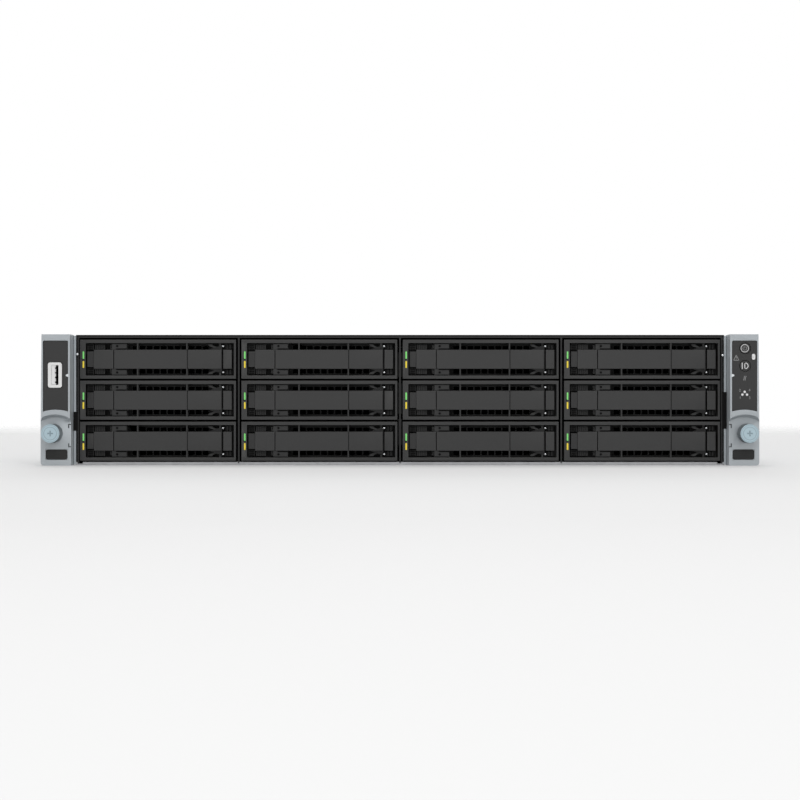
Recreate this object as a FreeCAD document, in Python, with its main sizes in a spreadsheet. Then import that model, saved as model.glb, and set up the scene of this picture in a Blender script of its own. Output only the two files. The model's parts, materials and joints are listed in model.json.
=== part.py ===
# A 2U rack server with twelve drive carriers, modelled as separate pieces in millimetres.
#
# +X is to the right seen from the front, +Y runs to the rear and +Z is up. The pieces are laid out
# with Y counted back from the face of the thumbscrew knobs, which is the front-most plane, and each
# sub-part is then moved forward by half the overall depth. The origin is the middle of the footprint.
import FreeCAD, Part
import math
import operator
import os
import types
import Sketcher

SIZES = {
    # chassis shell
    "rack_width": 482.6,          # over both ears, the width of a 19 inch panel
    "body_height": 88.0,          # two rack units less the usual slack
    "ear_reach": 22.3,            # each ear stands this far outside the chassis wall
    "chassis_depth": 705.0,
    "sheet": 1.0,                 # steel of the tray, the cover and the top panel
    "hem_height": 2.1,            # turned-up front edge of the floor
    "hem_depth": 1.2,
    "hem_inset": 4.5,
    # ears
    "front_setback": 8.0,         # tray's front edge behind the ears' lower plate
    "ear_depth": 10.4,            # lower plate's face to the bracket's flange
    "ear_gap": 0.3,               # between the bracket and the plastic housing
    "housing_step": 4.0,          # upper housing stands this far in front of the lower plate
    "bracket_sheet": 1.6,
    "bracket_reach": 40.0,        # bracket's leg along the chassis wall
    "bracket_margin": 0.5,        # bracket stops short of the housing at top, bottom and outside
    "step_height": 29.6,          # ends of the arched step between plate and housing
    "step_rise": 2.8,             # of the arched step's middle over its ends
    "panel_side": 1.2,            # dark panel's distance from the housing's inner edge
    "panel_outer": 2.3,
    "panel_top": 4.8,
    "panel_foot": 36.2,           # ends of the panel's arched lower edge
    "panel_rise": 1.3,
    "panel_recess": 2.0,
    "panel_sheet": 1.6,
    "panel_slack": 0.15,
    "pad_side": 2.3,
    "pad_foot": 3.8,
    "pad_width": 14.8,
    "pad_height": 7.1,
    "pad_sheet": 0.8,
    # thumbscrews
    "knob_length": 11.6,          # stands this far in front of the lower plate
    "knob_radius": 6.2,
    "knob_gap": 0.3,
    "knob_height": 21.7,          # axis above the underside
    "knob_inset": 8.75,           # axis inside the ear's outer edge, so 465.1 across a 19 inch rack
    "cross_length": 5.2,
    "cross_width": 1.2,
    "cross_depth": 1.2,
    "neck_radius": 1.9,           # thin neck that keeps the screw captive
    "neck_slack": 0.1,
    "neck_reach": 0.6,            # neck behind the rack plane
    "screw_radius": 2.45,
    "screw_length": 8.0,
    "square_hole": 9.5,           # cut-out for the screw in the bracket
    # controls in the ears
    "port_width": 9.3,
    "port_height": 16.9,
    "port_inset": 10.3,           # port's and buttons' middle inside the ear's outer edge
    "port_fall": 27.3,            # port's middle below the top
    "port_depth": 12.0,
    "port_slack": 0.15,
    "slot_width": 4.8,            # opening for a USB plug
    "slot_height": 13.2,
    "slot_depth": 10.0,
    "tongue_width": 2.1,
    "tongue_inset": 0.4,
    "button_radius": 3.6,
    "button_slack": 0.3,
    "button_depth": 3.2,
    "button_travel": 1.0,
    "power_fall": 9.4,            # buttons' middles below the top
    "marker_fall": 21.2,
    # drive bays
    "cage_sheet": 1.2,
    "bay_side_gap": 0.7,          # between the cage's outer wall and a carrier
    "column_gap": 3.8,
    "row_gap": 1.4,
    "bay_foot": 3.0,              # lowest carrier above the underside
    "bay_head": 3.3,              # highest carrier below the top
    "face_stand": 1.0,            # carriers' faces in front of the cage
    "ledge_sheet": 1.0,
    "ledge_gap": 0.1,
    "ledge_start": 0.9,
    # drive carriers
    "frame_left": 3.7,            # wide side of the frame, with the two lamps
    "frame_right": 1.3,
    "frame_foot": 2.1,
    "frame_head": 2.2,
    "recess_depth": 7.0,
    "recess_floor": 1.5,
    "rail_sheet": 1.5,
    "rail_inset": 0.3,
    "rail_foot": 1.5,
    "rail_length": 163.0,
    "drive_gap": 18.0,            # behind the recess floor
    "drive_slack": 0.1,
    "drive_length": 147.0,
    "lamp_left": 1.35,
    "lamp_width": 1.25,
    "lamp_height": 4.9,
    "lamp_rise": 0.2,
    "lamp_gap": 1.0,
    "vent_first": 34.4,
    "vent_pitch": 4.77,
    "vent_rib": 0.8,
    "vent_count": 11,
    "vent_foot": 1.4,
    "vent_low": 3.2,
    "vent_head": 1.8,
    "vent_high": 2.5,
    "stop_left": 1.0,             # fixed bar beside the release button
    "stop_width": 4.3,
    "stop_height": 10.4,
    "stop_back": 1.0,
    "block_first": 21.6,          # raised blocks left of the vents
    "block_width": 9.8,
    "block_back": 3.2,
    # release button and lever of a carrier
    "handle_height": 12.7,
    "handle_back": 0.6,           # behind the frame's face
    "release_left": 5.5,
    "release_width": 13.1,
    "release_sheet": 1.8,
    "release_travel": 1.2,
    "stem_side": 4.0,
    "stem_slack": 0.2,
    "stem_end": 2.0,
    "handle_gap": 0.6,
    "lever_sheet": 1.1,
    "lever_flange": 3.6,
    "lever_groove": 0.6,
    "groove_depth": 0.5,
    "groove_right": 23.6,         # groove's distance from the lever's hinged end
    "hinge_gap": 1.0,             # between the lever and the fixed end plate
    "hinge_radius": 1.3,
    "hinge_back": 1.9,
    "end_bevel": 0.5,             # lets the lever's end swing past the fixed plate
    "pin_radius": 0.8,
    "pin_slack": 0.05,
    "wing_rise": 2.4,
    "wing_length": 6.5,
    "wing_back": 0.3,
    "wing_sheet": 0.7,
    "end_width": 5.6,
    "end_gap": 1.6,
    # backplane
    "plug_width": 44.0,
    "plug_height": 6.0,
    "plug_depth": 8.0,
    "plug_foot": 4.0,
    "plug_gap": 0.3,
    "board_sheet": 1.6,
    "board_side": 2.5,
    "airway_width": 84.0,
    "airway_height": 11.0,
    "airway_foot": 12.5,
    # fans
    "fan_gap": 43.0,              # behind the backplane
    "fan_depth": 38.0,
    "fan_pitch": 132.0,
    "fan_foot": 3.0,              # above the tray's floor
    "fan_head": 3.0,              # below the cover
    "duct_wall": 1.6,             # thinnest part of a fan's frame
    "hub_radius": 18.0,
    "hub_front": 3.0,
    "hub_depth": 23.0,
    "blade_count": 5,
    "blade_sheet": 1.7,
    "blade_span": 22.0,
    "blade_camber": 3.0,
    "blade_gap": 3.0,             # between the flat tips' middles and the duct
    "blade_inset": 1.5,
    "stator_gap": 1.0,
    "stator_side": 30.0,
    "strut_width": 4.0,
    "strut_depth": 3.0,
    "shaft_radius": 1.5,
    "shaft_slack": 0.05,
    "shaft_length": 7.0,
    "wall_slack": 0.3,
    "wall_front": 14.0,
    # main board
    "main_gap": 1.8,              # between the board and the power supply bay
    "main_side": 5.0,             # between the board and the chassis wall
    "cell_count": 40,             # columns that the board's width is divided into
    "memory_left_count": 1,       # columns from the board's left edge to the first of each row
    "sink_left_count": 10,
    "memory_middle_count": 16,
    "sink_right_count": 29,
    "memory_right_count": 35,
    "main_front": 330.0,
    "main_back": 6.0,
    "standoff_height": 7.0,
    "standoff_radius": 3.2,
    "standoff_inset": 8.0,
    "socket_side": 76.0,
    "socket_height": 4.0,
    "chip_side": 36.0,
    "chip_height": 5.0,
    "sink_width": 78.0,
    "sink_length": 100.0,
    "sink_base": 5.0,
    "sink_gap": 6.6,              # between the fins and the air duct
    "sink_front": 20.0,
    "fin_sheet": 1.0,
    "fin_count": 13,
    "memory_front": 4.0,
    "memory_length": 133.4,
    "memory_height": 31.0,
    "memory_sheet": 3.0,
    "holder_height": 6.0,
    "holder_width": 6.5,
    "holder_end": 3.0,
    # air duct
    "guide_left": 2.0,            # inside the board's edges
    "guide_right": 7.0,
    "guide_front": 306.0,
    "guide_length": 172.0,
    "guide_sheet": 1.8,
    "guide_head": 3.0,
    "guide_rake": 30.0,
    # power supplies and their bay
    "supply_width": 86.0,
    "supply_head": 3.0,           # above the upper supply
    "supply_length": 198.0,
    "supply_gap": 0.5,
    "supply_side_gap": 1.7,
    "bay_length": 206.0,
    "inlet_width": 27.5,
    "inlet_height": 20.0,
    "inlet_depth": 16.0,
    "inlet_side": 4.5,
    "blade_pin": 2.2,             # contacts in the inlet
    "blade_pin_length": 11.0,
    "blade_pin_pitch": 7.0,
    "grille_radius": 16.0,
    "grille_side": 23.0,
    "grille_depth": 3.0,
    "face_sheet": 1.5,
    "handle_reach": 23.4,
    "handle_span": 34.0,
    "handle_sheet": 2.4,
    "handle_width": 12.0,
    "handle_bend": 6.0,
    # rear wall
    "window_side": 4.0,           # from the chassis wall
    "window_width": 102.5,
    "window_head": 28.0,
    "slot_wide": 104.0,
    "slot_high": 12.5,
    "slot_pitch": 20.3,
    "slot_first": 41.0,
    "slot_side": 3.0,             # outer column's distance from the chassis wall
    "slot_column_pitch": 107.0,
    "cover_lap": 2.5,
    "cover_sheet": 0.9,
    "riser_head": 7.4,            # below the cover
    "riser_length": 140.0,
    "riser_gap": 24.0,            # clear of the ports
    "outlet_side": 11.8,          # from the power supply bay
    "outlet_gap": 10.0,           # from the expansion slots
    "outlet_rib": 3.0,
    "outlet_count": 5,
    "outlet_foot": 14.0,
    "outlet_head": 3.0,
    # rear ports
    "jack_width": 16.0,
    "jack_height": 13.5,
    "jack_depth": 18.0,
    "jack_mouth_width": 11.7,
    "jack_mouth_height": 8.6,
    "jack_mouth_depth": 12.0,
    "jack_pitch": 17.5,
    "jack_side": 16.0,            # ports' middles from the chassis wall
    "jack_stand": 0.6,
    "stack_width": 14.5,
    "stack_height": 15.6,
    "stack_side": 69.0,
    "stack_mouth": 4.6,
    "stack_wall": 1.2,
    "video_width": 28.0,
    "video_side": 91.0,
    "video_height": 12.5,
    "video_shell": 17.0,
    "video_rise": 8.4,
    "video_stand": 5.5,
    # top cover
    "cover_gap": 0.3,
    "skirt_height": 9.0,
    "skirt_gap": 0.2,
    "dish_length": 124.0,
    "dish_width": 34.0,
    "dish_depth": 7.0,
    "dish_back": 300.0,           # from the cover's front edge
    "latch_gap": 1.0,
    "latch_sheet": 4.2,
    "latch_radius": 2.2,
    "latch_pin": 1.2,
    "latch_slack": 0.05,
}

doc = FreeCAD.newDocument("rack_server")
sheet = doc.addObject("Spreadsheet::Sheet", "sizes")
for row, (alias, amount) in enumerate(SIZES.items(), 1):
    sheet.set(f"A{row}", alias)
    sheet.set(f"B{row}", str(amount))
    sheet.setAlias(f"B{row}", alias)
doc.recompute()


class Size:
    """A length with the sheet formula that gives it, so that what is bound to it follows the sheet."""

    def __init__(self, number, formula):
        self.number = number
        self.formula = formula

    def __add__(self, other):
        return joined(operator.add, "+", self, other)

    def __radd__(self, other):
        return joined(operator.add, "+", other, self)

    def __sub__(self, other):
        return joined(operator.sub, "-", self, other)

    def __rsub__(self, other):
        return joined(operator.sub, "-", other, self)

    def __mul__(self, other):
        return joined(operator.mul, "*", self, other)

    def __rmul__(self, other):
        return joined(operator.mul, "*", other, self)

    def __truediv__(self, other):
        return joined(operator.truediv, "/", self, other)

    def __neg__(self):
        return joined(operator.mul, "*", -1, self)


def number(value):
    return value.number if isinstance(value, Size) else float(value)


def formula(value):
    return value.formula if isinstance(value, Size) else repr(float(value))


def joined(act, sign, left, right):
    return Size(act(number(left), number(right)), f"({formula(left)} {sign} {formula(right)})")


s = types.SimpleNamespace(**{name: Size(amount, f"sizes.{name}") for name, amount in SIZES.items()})


# ---- making pieces ---------------------------------------------------------------------------

def bind(thing, path, value):
    thing.setExpression(path, formula(value))


def place(thing, x, y, z):
    for axis, value in zip("xyz", (x, y, z)):
        bind(thing, f"Placement.Base.{axis}", value)


def block(name, x, y, z):
    """A plain block; x, y and z are each a pair, from and to."""
    thing = doc.addObject("Part::Box", name)
    for path, (low, high) in zip(("Length", "Width", "Height"), (x, y, z)):
        bind(thing, path, high - low)
    place(thing, x[0], y[0], z[0])
    return thing


TURNS = {
    "x": FreeCAD.Rotation(FreeCAD.Vector(0, 1, 0), 90),
    "y": FreeCAD.Rotation(FreeCAD.Vector(1, 0, 0), -90),
    "z": FreeCAD.Rotation(),
}


def rod(name, axis, start, radius, length):
    """A cylinder that runs from start along an axis."""
    thing = doc.addObject("Part::Cylinder", name)
    thing.Placement = FreeCAD.Placement(FreeCAD.Vector(), TURNS[axis])
    bind(thing, "Radius", radius)
    bind(thing, "Height", length)
    place(thing, *start)
    return thing


def rectangle(a, b):
    """The four corners between two pairs, from and to."""
    return [(a[0], b[0]), (a[1], b[0]), (a[1], b[1]), (a[0], b[1])]


def mirrored(loop):
    """The same outline on the other side of the middle."""
    return [(-corner[0], corner[1], *(-bend for bend in corner[2:])) for corner in loop]


def arc(start, end, bend):
    """An arc whose centre is left of the way from start to end, or right of it for a negative bend."""
    way = end - start
    side = FreeCAD.Vector(-way.y, way.x, 0).normalize() * math.copysign(1, bend)
    reach = math.sqrt(max(bend ** 2 - way.Length ** 2 / 4, 0))
    centre = (start + end) / 2 + side * reach
    first, last = (start, end) if bend > 0 else (end, start)
    angles = [math.atan2(point.y - centre.y, point.x - centre.x) for point in (first, last)]
    return Part.ArcOfCircle(Part.Circle(centre, FreeCAD.Vector(0, 0, 1), abs(bend)), *angles)


PLANES = {"front": "XZ_Plane", "top": "XY_Plane", "side": "YZ_Plane"}


def sketch(owner, plane, level, loops, circles):
    """Outlines on a plane across Y, Z or X, with every corner, radius and centre bound to the sheet."""
    drawing = owner.newObject("Sketcher::SketchObject", "outline")
    support = next(item for item in owner.Origin.OriginFeatures if item.Role == PLANES[plane])
    drawing.AttachmentSupport = [(support, "")]
    drawing.MapMode = "FlatFace"
    bind(drawing, "AttachmentOffset.Base.z", -level if plane == "front" else level)
    rules = []
    for loop in loops:
        first = drawing.GeometryCount
        spots = [FreeCAD.Vector(number(corner[0]), number(corner[1]), 0) for corner in loop]
        ends = []
        for index, corner in enumerate(loop):
            start, end = spots[index], spots[(index + 1) % len(loop)]
            if len(corner) == 3:
                drawing.addGeometry(arc(start, end, number(corner[2])))
                ends.append((1, 2) if number(corner[2]) > 0 else (2, 1))
            else:
                drawing.addGeometry(Part.LineSegment(start, end))
                ends.append((1, 2))
        for index, corner in enumerate(loop):
            side = first + index
            after = (index + 1) % len(loop)
            rules.append((("Coincident", side, ends[index][1], first + after, ends[after][0]), None))
            rules.append((("DistanceX", -1, 1, side, ends[index][0], spots[index].x), corner[0]))
            rules.append((("DistanceY", -1, 1, side, ends[index][0], spots[index].y), corner[1]))
            if len(corner) == 3:
                size = corner[2] if number(corner[2]) > 0 else -corner[2]
                rules.append((("Radius", side, number(size)), size))
    for across, up, radius in circles:
        centre = FreeCAD.Vector(number(across), number(up), 0)
        ring = drawing.addGeometry(Part.Circle(centre, FreeCAD.Vector(0, 0, 1), number(radius)))
        rules.append((("DistanceX", -1, 1, ring, 3, centre.x), across))
        rules.append((("DistanceY", -1, 1, ring, 3, centre.y), up))
        rules.append((("Radius", ring, number(radius)), radius))
    drawing.addConstraint([Sketcher.Constraint(*rule) for rule, value in rules])
    for index, (rule, value) in enumerate(rules):
        if isinstance(value, Size):
            drawing.setExpression(f"Constraints[{index}]", value.formula)
    return drawing


def feature(kind, owner, plane, span, loops, circles):
    """Adds or takes away the outlines between two planes, span[0] and span[1]."""
    drawing = sketch(owner, plane, span[0], loops, circles)
    step = owner.newObject(f"PartDesign::{kind}", kind.lower())
    step.Profile = drawing
    step.Reversed = (kind == "Pad") == (plane == "front")
    bind(step, "Length", span[1] - span[0])
    return step


def pad(owner, plane, span, loops=(), circles=()):
    return feature("Pad", owner, plane, span, loops, circles)


def cut(owner, plane, span, loops=(), circles=()):
    return feature("Pocket", owner, plane, span, loops, circles)


def repeat(owner, step, axis, pitch, count):
    """Repeats a feature in a straight row along its sketch's H_Axis or V_Axis."""
    row = owner.newObject("PartDesign::LinearPattern", "row")
    row.Originals = [step]
    row.Direction = (step.Profile[0], [axis])
    bind(row, "Length", pitch * (count - 1))
    bind(row, "Occurrences", count)
    owner.Tip = row


def body(name):
    return doc.addObject("PartDesign::Body", name)


def group(name, pieces):
    thing = doc.addObject("Part::Compound", name)
    thing.Links = list(pieces)
    return thing


# ---- planes shared by several pieces ---------------------------------------------------------

plate_front = s.knob_length
housing_front = plate_front - s.housing_step
flange_front = plate_front + s.ear_depth
rack_plane = flange_front + s.bracket_sheet
cage_front = plate_front + s.front_setback
rear_face = cage_front + s.chassis_depth
overall_depth = rear_face + s.handle_reach

half_width = s.rack_width / 2 - s.ear_reach
wall_inside = half_width - s.sheet
cover_under = s.body_height - s.sheet

bays_width = 2 * (wall_inside - s.cage_sheet - s.bay_side_gap)
carrier_width = (bays_width - 3 * s.column_gap) / 4
carrier_height = (s.body_height - s.bay_foot - s.bay_head - 2 * s.row_gap) / 3
column_pitch = carrier_width + s.column_gap
row_pitch = carrier_height + s.row_gap
drive_width = carrier_width - 2 * (s.rail_sheet + s.rail_inset)
face = cage_front - s.face_stand
recess_back = face + s.recess_depth
bezel_back = recess_back + s.recess_floor
drive_front = bezel_back + s.drive_gap
cage_back = drive_front + s.drive_length + s.plug_gap + s.plug_depth
board_back = cage_back + s.board_sheet
fan_front = board_back + s.fan_gap
fan_side = cover_under - s.sheet - s.fan_foot - s.fan_head
duct_radius = fan_side / 2 - s.duct_wall
fan_axis = s.sheet + s.fan_foot + fan_side / 2
main_top = s.sheet + s.standoff_height + s.board_sheet
supply_height = (cover_under - 2 * s.sheet - 4 * s.supply_gap - s.supply_head) / 2

NODES = []


def finish(thing, label, x=0.0, z=0.0):
    """Gives a sub-part its name and its place in the server."""
    thing.Label = label
    place(thing, x, -overall_depth / 2, z)
    NODES.append(thing)


def copy_of(master, label, x=0.0, z=0.0):
    link = doc.addObject("App::Link", label)
    link.LinkedObject = master
    finish(link, label, x, z)


# ---- chassis tray ----------------------------------------------------------------------------

def supply_floor(index):
    return s.sheet + s.supply_gap + index * (supply_height + s.sheet + 2 * s.supply_gap)


supply_left = -wall_inside + s.supply_side_gap
supply_right = supply_left + s.supply_width
bay_wall = supply_right + s.supply_gap


slot_column = wall_inside - s.slot_side - s.slot_wide / 2 - s.slot_column_pitch


def slot_place(index):
    """Middle and lower edge of an expansion slot: three in the inner column, two in the outer one."""
    column, level = (0, index - 1) if index < 3 else (1, index - 3)
    return slot_column + column * s.slot_column_pitch, s.slot_first + level * s.slot_pitch


def slot_span(index, lap):
    middle, low = slot_place(index)
    across = (middle - s.slot_wide / 2 - lap, middle + s.slot_wide / 2 + lap)
    return across, (low - lap, low + s.slot_high + lap)


def tray():
    """Floor and side walls of one folded sheet, with its front edge turned up."""
    shell = body("tray")
    w, t, top = half_width, s.sheet, cover_under
    channel = [(-w, 0), (w, 0), (w, top), (w - t, top), (w - t, t), (t - w, t), (t - w, top), (-w, top)]
    pad(shell, "front", (cage_front, rear_face), [channel])
    hem = rectangle((s.hem_inset - w, w - s.hem_inset), (0, s.hem_height))
    pad(shell, "front", (cage_front, cage_front + s.hem_depth), [hem])
    return shell


outlet_across = (bay_wall + s.outlet_side, slot_column - s.slot_wide / 2 - s.outlet_gap)
seam = outlet_across[1] + s.outlet_gap / 2
rear_wall = (rear_face - s.sheet, rear_face)


def supply_wall():
    """Left part of the rear wall, open for the power supplies, with air outlets beside them."""
    wall = body("supply_wall")
    t = s.sheet
    pad(wall, "front", rear_wall, [rectangle((-wall_inside, seam), (t, cover_under))])
    doors = []
    for index in range(2):
        low = supply_floor(index)
        doors.append(rectangle((supply_left - s.supply_gap, bay_wall),
                               (low - s.supply_gap / 2, low + supply_height + s.supply_gap / 2)))
    cut(wall, "front", rear_wall, doors)
    outlet_pitch = (cover_under - s.outlet_foot - s.outlet_head) / s.outlet_count
    louvre = rectangle(outlet_across, (s.outlet_foot, s.outlet_foot + outlet_pitch - s.outlet_rib))
    repeat(wall, cut(wall, "front", rear_wall, [louvre]), "V_Axis", outlet_pitch, s.outlet_count)
    return wall


def port_wall():
    """Right part of the rear wall, with the window for the ports and the expansion slots."""
    wall = body("port_wall")
    pad(wall, "front", rear_wall, [rectangle((seam, wall_inside), (s.sheet, cover_under))])
    window_right = wall_inside - s.window_side
    cut(wall, "front", rear_wall,
        [rectangle((window_right - s.window_width, window_right), (main_top, s.window_head))])
    cut(wall, "front", rear_wall, [rectangle(*slot_span(index, 0)) for index in range(5)])
    return wall


def supply_bay():
    """Inner wall of the power supply bay with the shelf between the two supplies."""
    divider = body("supply_bay")
    t = s.sheet
    shelf = supply_floor(0) + supply_height + s.supply_gap
    outline = [
        (bay_wall, t), (bay_wall + t, t), (bay_wall + t, cover_under), (bay_wall, cover_under),
        (bay_wall, shelf + t), (-wall_inside, shelf + t), (-wall_inside, shelf), (bay_wall, shelf),
    ]
    pad(divider, "front", (rear_face - t - s.bay_length, rear_face - t), [outline])
    return divider


finish(group("tray_pieces", [tray(), supply_wall(), port_wall(), supply_bay()]), "chassis_tray")


# ---- drive cage ------------------------------------------------------------------------------

def cage():
    shell = body("cage")
    a, g, t, top = wall_inside, s.cage_sheet, s.sheet, cover_under
    hood = [(-a, t), (g - a, t), (g - a, top - t), (a - g, top - t), (a - g, t), (a, t), (a, top), (-a, top)]
    length = (cage_front, cage_back)
    pad(shell, "front", length, [hood])
    divider = rectangle((-column_pitch - g / 2, -column_pitch + g / 2), (t, top - t))
    repeat(shell, pad(shell, "front", length, [divider]), "H_Axis", column_pitch, 3)
    clear = drive_width / 2 + s.ledge_gap
    level = s.bay_foot + s.rail_foot - s.ledge_gap
    steps = [rectangle((-a, -1.5 * column_pitch - clear), (level - s.ledge_sheet, level))]
    for column in (-1, 0, 1):
        middle = column * column_pitch
        across = (middle - column_pitch / 2 + clear, middle + column_pitch / 2 - clear)
        steps.append(rectangle(across, (level - s.ledge_sheet, level)))
    steps.append(rectangle((1.5 * column_pitch + clear, a), (level - s.ledge_sheet, level)))
    ledges = pad(shell, "front", (bezel_back + s.ledge_start, cage_back), steps)
    repeat(shell, ledges, "V_Axis", row_pitch, 3)
    return shell


top_panel = block("top_panel", (-half_width, half_width), (cage_front, cage_back),
                  (cover_under, s.body_height))
finish(group("cage_pieces", [cage(), top_panel]), "drive_cage")


# ---- drive carriers --------------------------------------------------------------------------
# A carrier is laid out from its own middle and its own underside.

left_edge = -carrier_width / 2
right_edge = carrier_width / 2
recess_left = left_edge + s.frame_left
recess_right = right_edge - s.frame_right
recess_low = s.frame_foot
recess_high = carrier_height - s.frame_head
handle_low = (carrier_height - s.handle_height) / 2
handle_high = handle_low + s.handle_height
handle_front = face + s.handle_back
release_left = recess_left + s.release_left
release_right = release_left + s.release_width
end_right = recess_right - s.end_gap
end_left = end_right - s.end_width
lever_left = release_right + s.handle_gap
lever_right = end_left - s.hinge_gap
pin_across = lever_right - s.hinge_radius
pin_back = handle_front + s.hinge_back
stem_middle = (release_left + release_right) / 2
lamp_low = carrier_height / 2 + s.lamp_rise - s.lamp_gap / 2 - s.lamp_height


def carrier_frame():
    """The moulded front with its recess, vents, blocks and lamp slot, and the two side rails."""
    frame = body("carrier_frame")
    pad(frame, "front", (face, bezel_back), [rectangle((left_edge, right_edge), (0, carrier_height))])
    cut(frame, "front", (face, recess_back), [rectangle((recess_left, recess_right), (recess_low, recess_high))])
    stop_left = recess_left + s.stop_left
    stop = rectangle((stop_left, stop_left + s.stop_width),
                     ((carrier_height - s.stop_height) / 2, (carrier_height + s.stop_height) / 2))
    pad(frame, "front", (face + s.stop_back, recess_back), [stop])
    block_across = (left_edge + s.block_first, left_edge + s.block_first + s.block_width)
    blocks = [rectangle(block_across, (recess_low, handle_low)),
              rectangle(block_across, (handle_high, recess_high))]
    pad(frame, "front", (face + s.block_back, recess_back), blocks)
    pad(frame, "front", (handle_front, recess_back),
        [rectangle((end_left, end_right), (handle_low, handle_high))])
    vent_left = left_edge + s.vent_first
    vent_across = (vent_left, vent_left + s.vent_pitch - s.vent_rib)
    low = recess_low + s.vent_foot
    high = recess_high - s.vent_head
    vents = cut(frame, "front", (recess_back, bezel_back),
                [rectangle(vent_across, (low, low + s.vent_low)),
                 rectangle(vent_across, (high - s.vent_high, high))])
    repeat(frame, vents, "H_Axis", s.vent_pitch, s.vent_count)
    half_hole = s.stem_side / 2 + s.stem_slack
    middle = carrier_height / 2
    cut(frame, "front", (recess_back, bezel_back),
        [rectangle((stem_middle - half_hole, stem_middle + half_hole), (middle - half_hole, middle + half_hole))])
    lamp_across = (left_edge + s.lamp_left, left_edge + s.lamp_left + s.lamp_width)
    cut(frame, "front", (face, bezel_back),
        [rectangle(lamp_across, (lamp_low, lamp_low + 2 * s.lamp_height + s.lamp_gap))])
    inside, outside = drive_width / 2, drive_width / 2 + s.rail_sheet
    up = (s.rail_foot, carrier_height - s.rail_foot)
    pad(frame, "front", (bezel_back, bezel_back + s.rail_length),
        [rectangle((-outside, -inside), up), rectangle((inside, outside), up)])
    return frame


def carrier_lamps():
    across = (left_edge + s.lamp_left, left_edge + s.lamp_left + s.lamp_width)
    upper = lamp_low + s.lamp_height + s.lamp_gap
    depth = (face, bezel_back)
    return [block("status_lamp", across, depth, (upper, upper + s.lamp_height)),
            block("activity_lamp", across, depth, (lamp_low, lamp_low + s.lamp_height))]


def lever():
    """A shallow channel whose right end has two wings with open hooks that snap over the hinge pin."""
    handle = body("lever")
    t = s.lever_sheet
    back = handle_front + s.lever_flange
    channel = [(handle_front, handle_low), (back, handle_low), (back, handle_low + t),
               (handle_front + t, handle_low + t), (handle_front + t, handle_high - t),
               (back, handle_high - t), (back, handle_high), (handle_front, handle_high)]
    pad(handle, "side", (lever_left, lever_right), [channel])
    groove = (lever_right - s.groove_right, lever_right - s.groove_right + s.lever_groove)
    cut(handle, "front", (handle_front, handle_front + s.groove_depth),
        [rectangle(groove, (handle_low, handle_high))])
    bevel = [(lever_right - s.end_bevel, handle_front), (lever_right, handle_front),
             (lever_right, handle_front + s.end_bevel)]
    cut(handle, "top", (handle_low, handle_high), [bevel])
    wing_low, wing_high = handle_low - s.wing_rise, handle_high + s.wing_rise
    knuckle_left = pin_across - s.hinge_radius
    wing_left = knuckle_left - s.wing_length
    wings = [(wing_left, handle_low), (knuckle_left, wing_low), (lever_right, wing_low),
             (lever_right, wing_high), (knuckle_left, wing_high), (wing_left, handle_high)]
    wing_front = handle_front + s.wing_back
    pad(handle, "front", (wing_front, wing_front + s.wing_sheet), [wings])
    hook = rectangle((knuckle_left, lever_right), (wing_front, pin_back + s.hinge_radius))
    pad(handle, "top", (wing_low, handle_low), [hook])
    pad(handle, "top", (handle_high, wing_high), [hook])
    half = s.pin_radius + s.pin_slack
    cut(handle, "top", (wing_low, wing_high), circles=[(pin_across, pin_back, half)])
    cut(handle, "top", (wing_low, wing_high), [rectangle((pin_across - half, pin_across + half), (pin_back, back))])
    return handle


def release_button():
    """The push plate left of the lever and the square stem that guides it."""
    button = body("release_button")
    plate_back = handle_front + s.release_sheet
    pad(button, "front", (handle_front, plate_back),
        [rectangle((release_left, release_right), (handle_low, handle_high))])
    half, middle = s.stem_side / 2, carrier_height / 2
    pad(button, "front", (plate_back, bezel_back + s.stem_end),
        [rectangle((stem_middle - half, stem_middle + half), (middle - half, middle + half))])
    return button


hinge_pin = doc.addObject("Part::Prism", "hinge_pin")
hinge_pin.Polygon = 8
bind(hinge_pin, "Circumradius", s.pin_radius)
bind(hinge_pin, "Height", recess_high - recess_low)
place(hinge_pin, pin_across, pin_back, recess_low)
drive = block("drive", (-drive_width / 2, drive_width / 2), (drive_front, drive_front + s.drive_length),
              (s.drive_slack, carrier_height - s.drive_slack))
carrier_master = group("carrier", [carrier_frame(), *carrier_lamps(), hinge_pin, drive])
lever_master = lever()
release_master = release_button()
for bay in range(12):
    column, level = bay % 4, 2 - bay // 4
    spot = ((column - 1.5) * column_pitch, s.bay_foot + level * row_pitch)
    copy_of(carrier_master, f"drive_carrier_{bay + 1}", *spot)
    copy_of(lever_master, f"carrier_lever_{bay + 1}", *spot)
    copy_of(release_master, f"carrier_button_{bay + 1}", *spot)


# ---- ears ------------------------------------------------------------------------------------
# Each outline is drawn for the right ear and mirrored for the left one.

def bow(across, rise):
    """Radius of the arc that rises this much over a width."""
    return (across * across / 4 + rise * rise) / (2 * rise)


ear_inside = half_width + s.bracket_sheet + s.ear_gap
ear_outside = s.rack_width / 2
panel_across = (ear_inside + s.panel_side, ear_outside - s.panel_outer)
panel_up = (s.panel_foot, s.body_height - s.panel_top)
knob_across = ear_outside - s.knob_inset
port_across = ear_outside - s.port_inset
port_centre = s.body_height - s.port_fall


def panel_outline(slack):
    """The dark panel's edge, whose lower side arches up."""
    left, right = panel_across[0] + slack, panel_across[1] - slack
    low, high = panel_up[0] + slack, panel_up[1] - slack
    return [(right, low), (right, high), (left, high), (left, low, -bow(right - left, s.panel_rise))]


def pad_outline(slack):
    left, low = ear_inside + s.pad_side, s.pad_foot
    return rectangle((left + slack, left + s.pad_width - slack), (low + slack, low + s.pad_height - slack))


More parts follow.
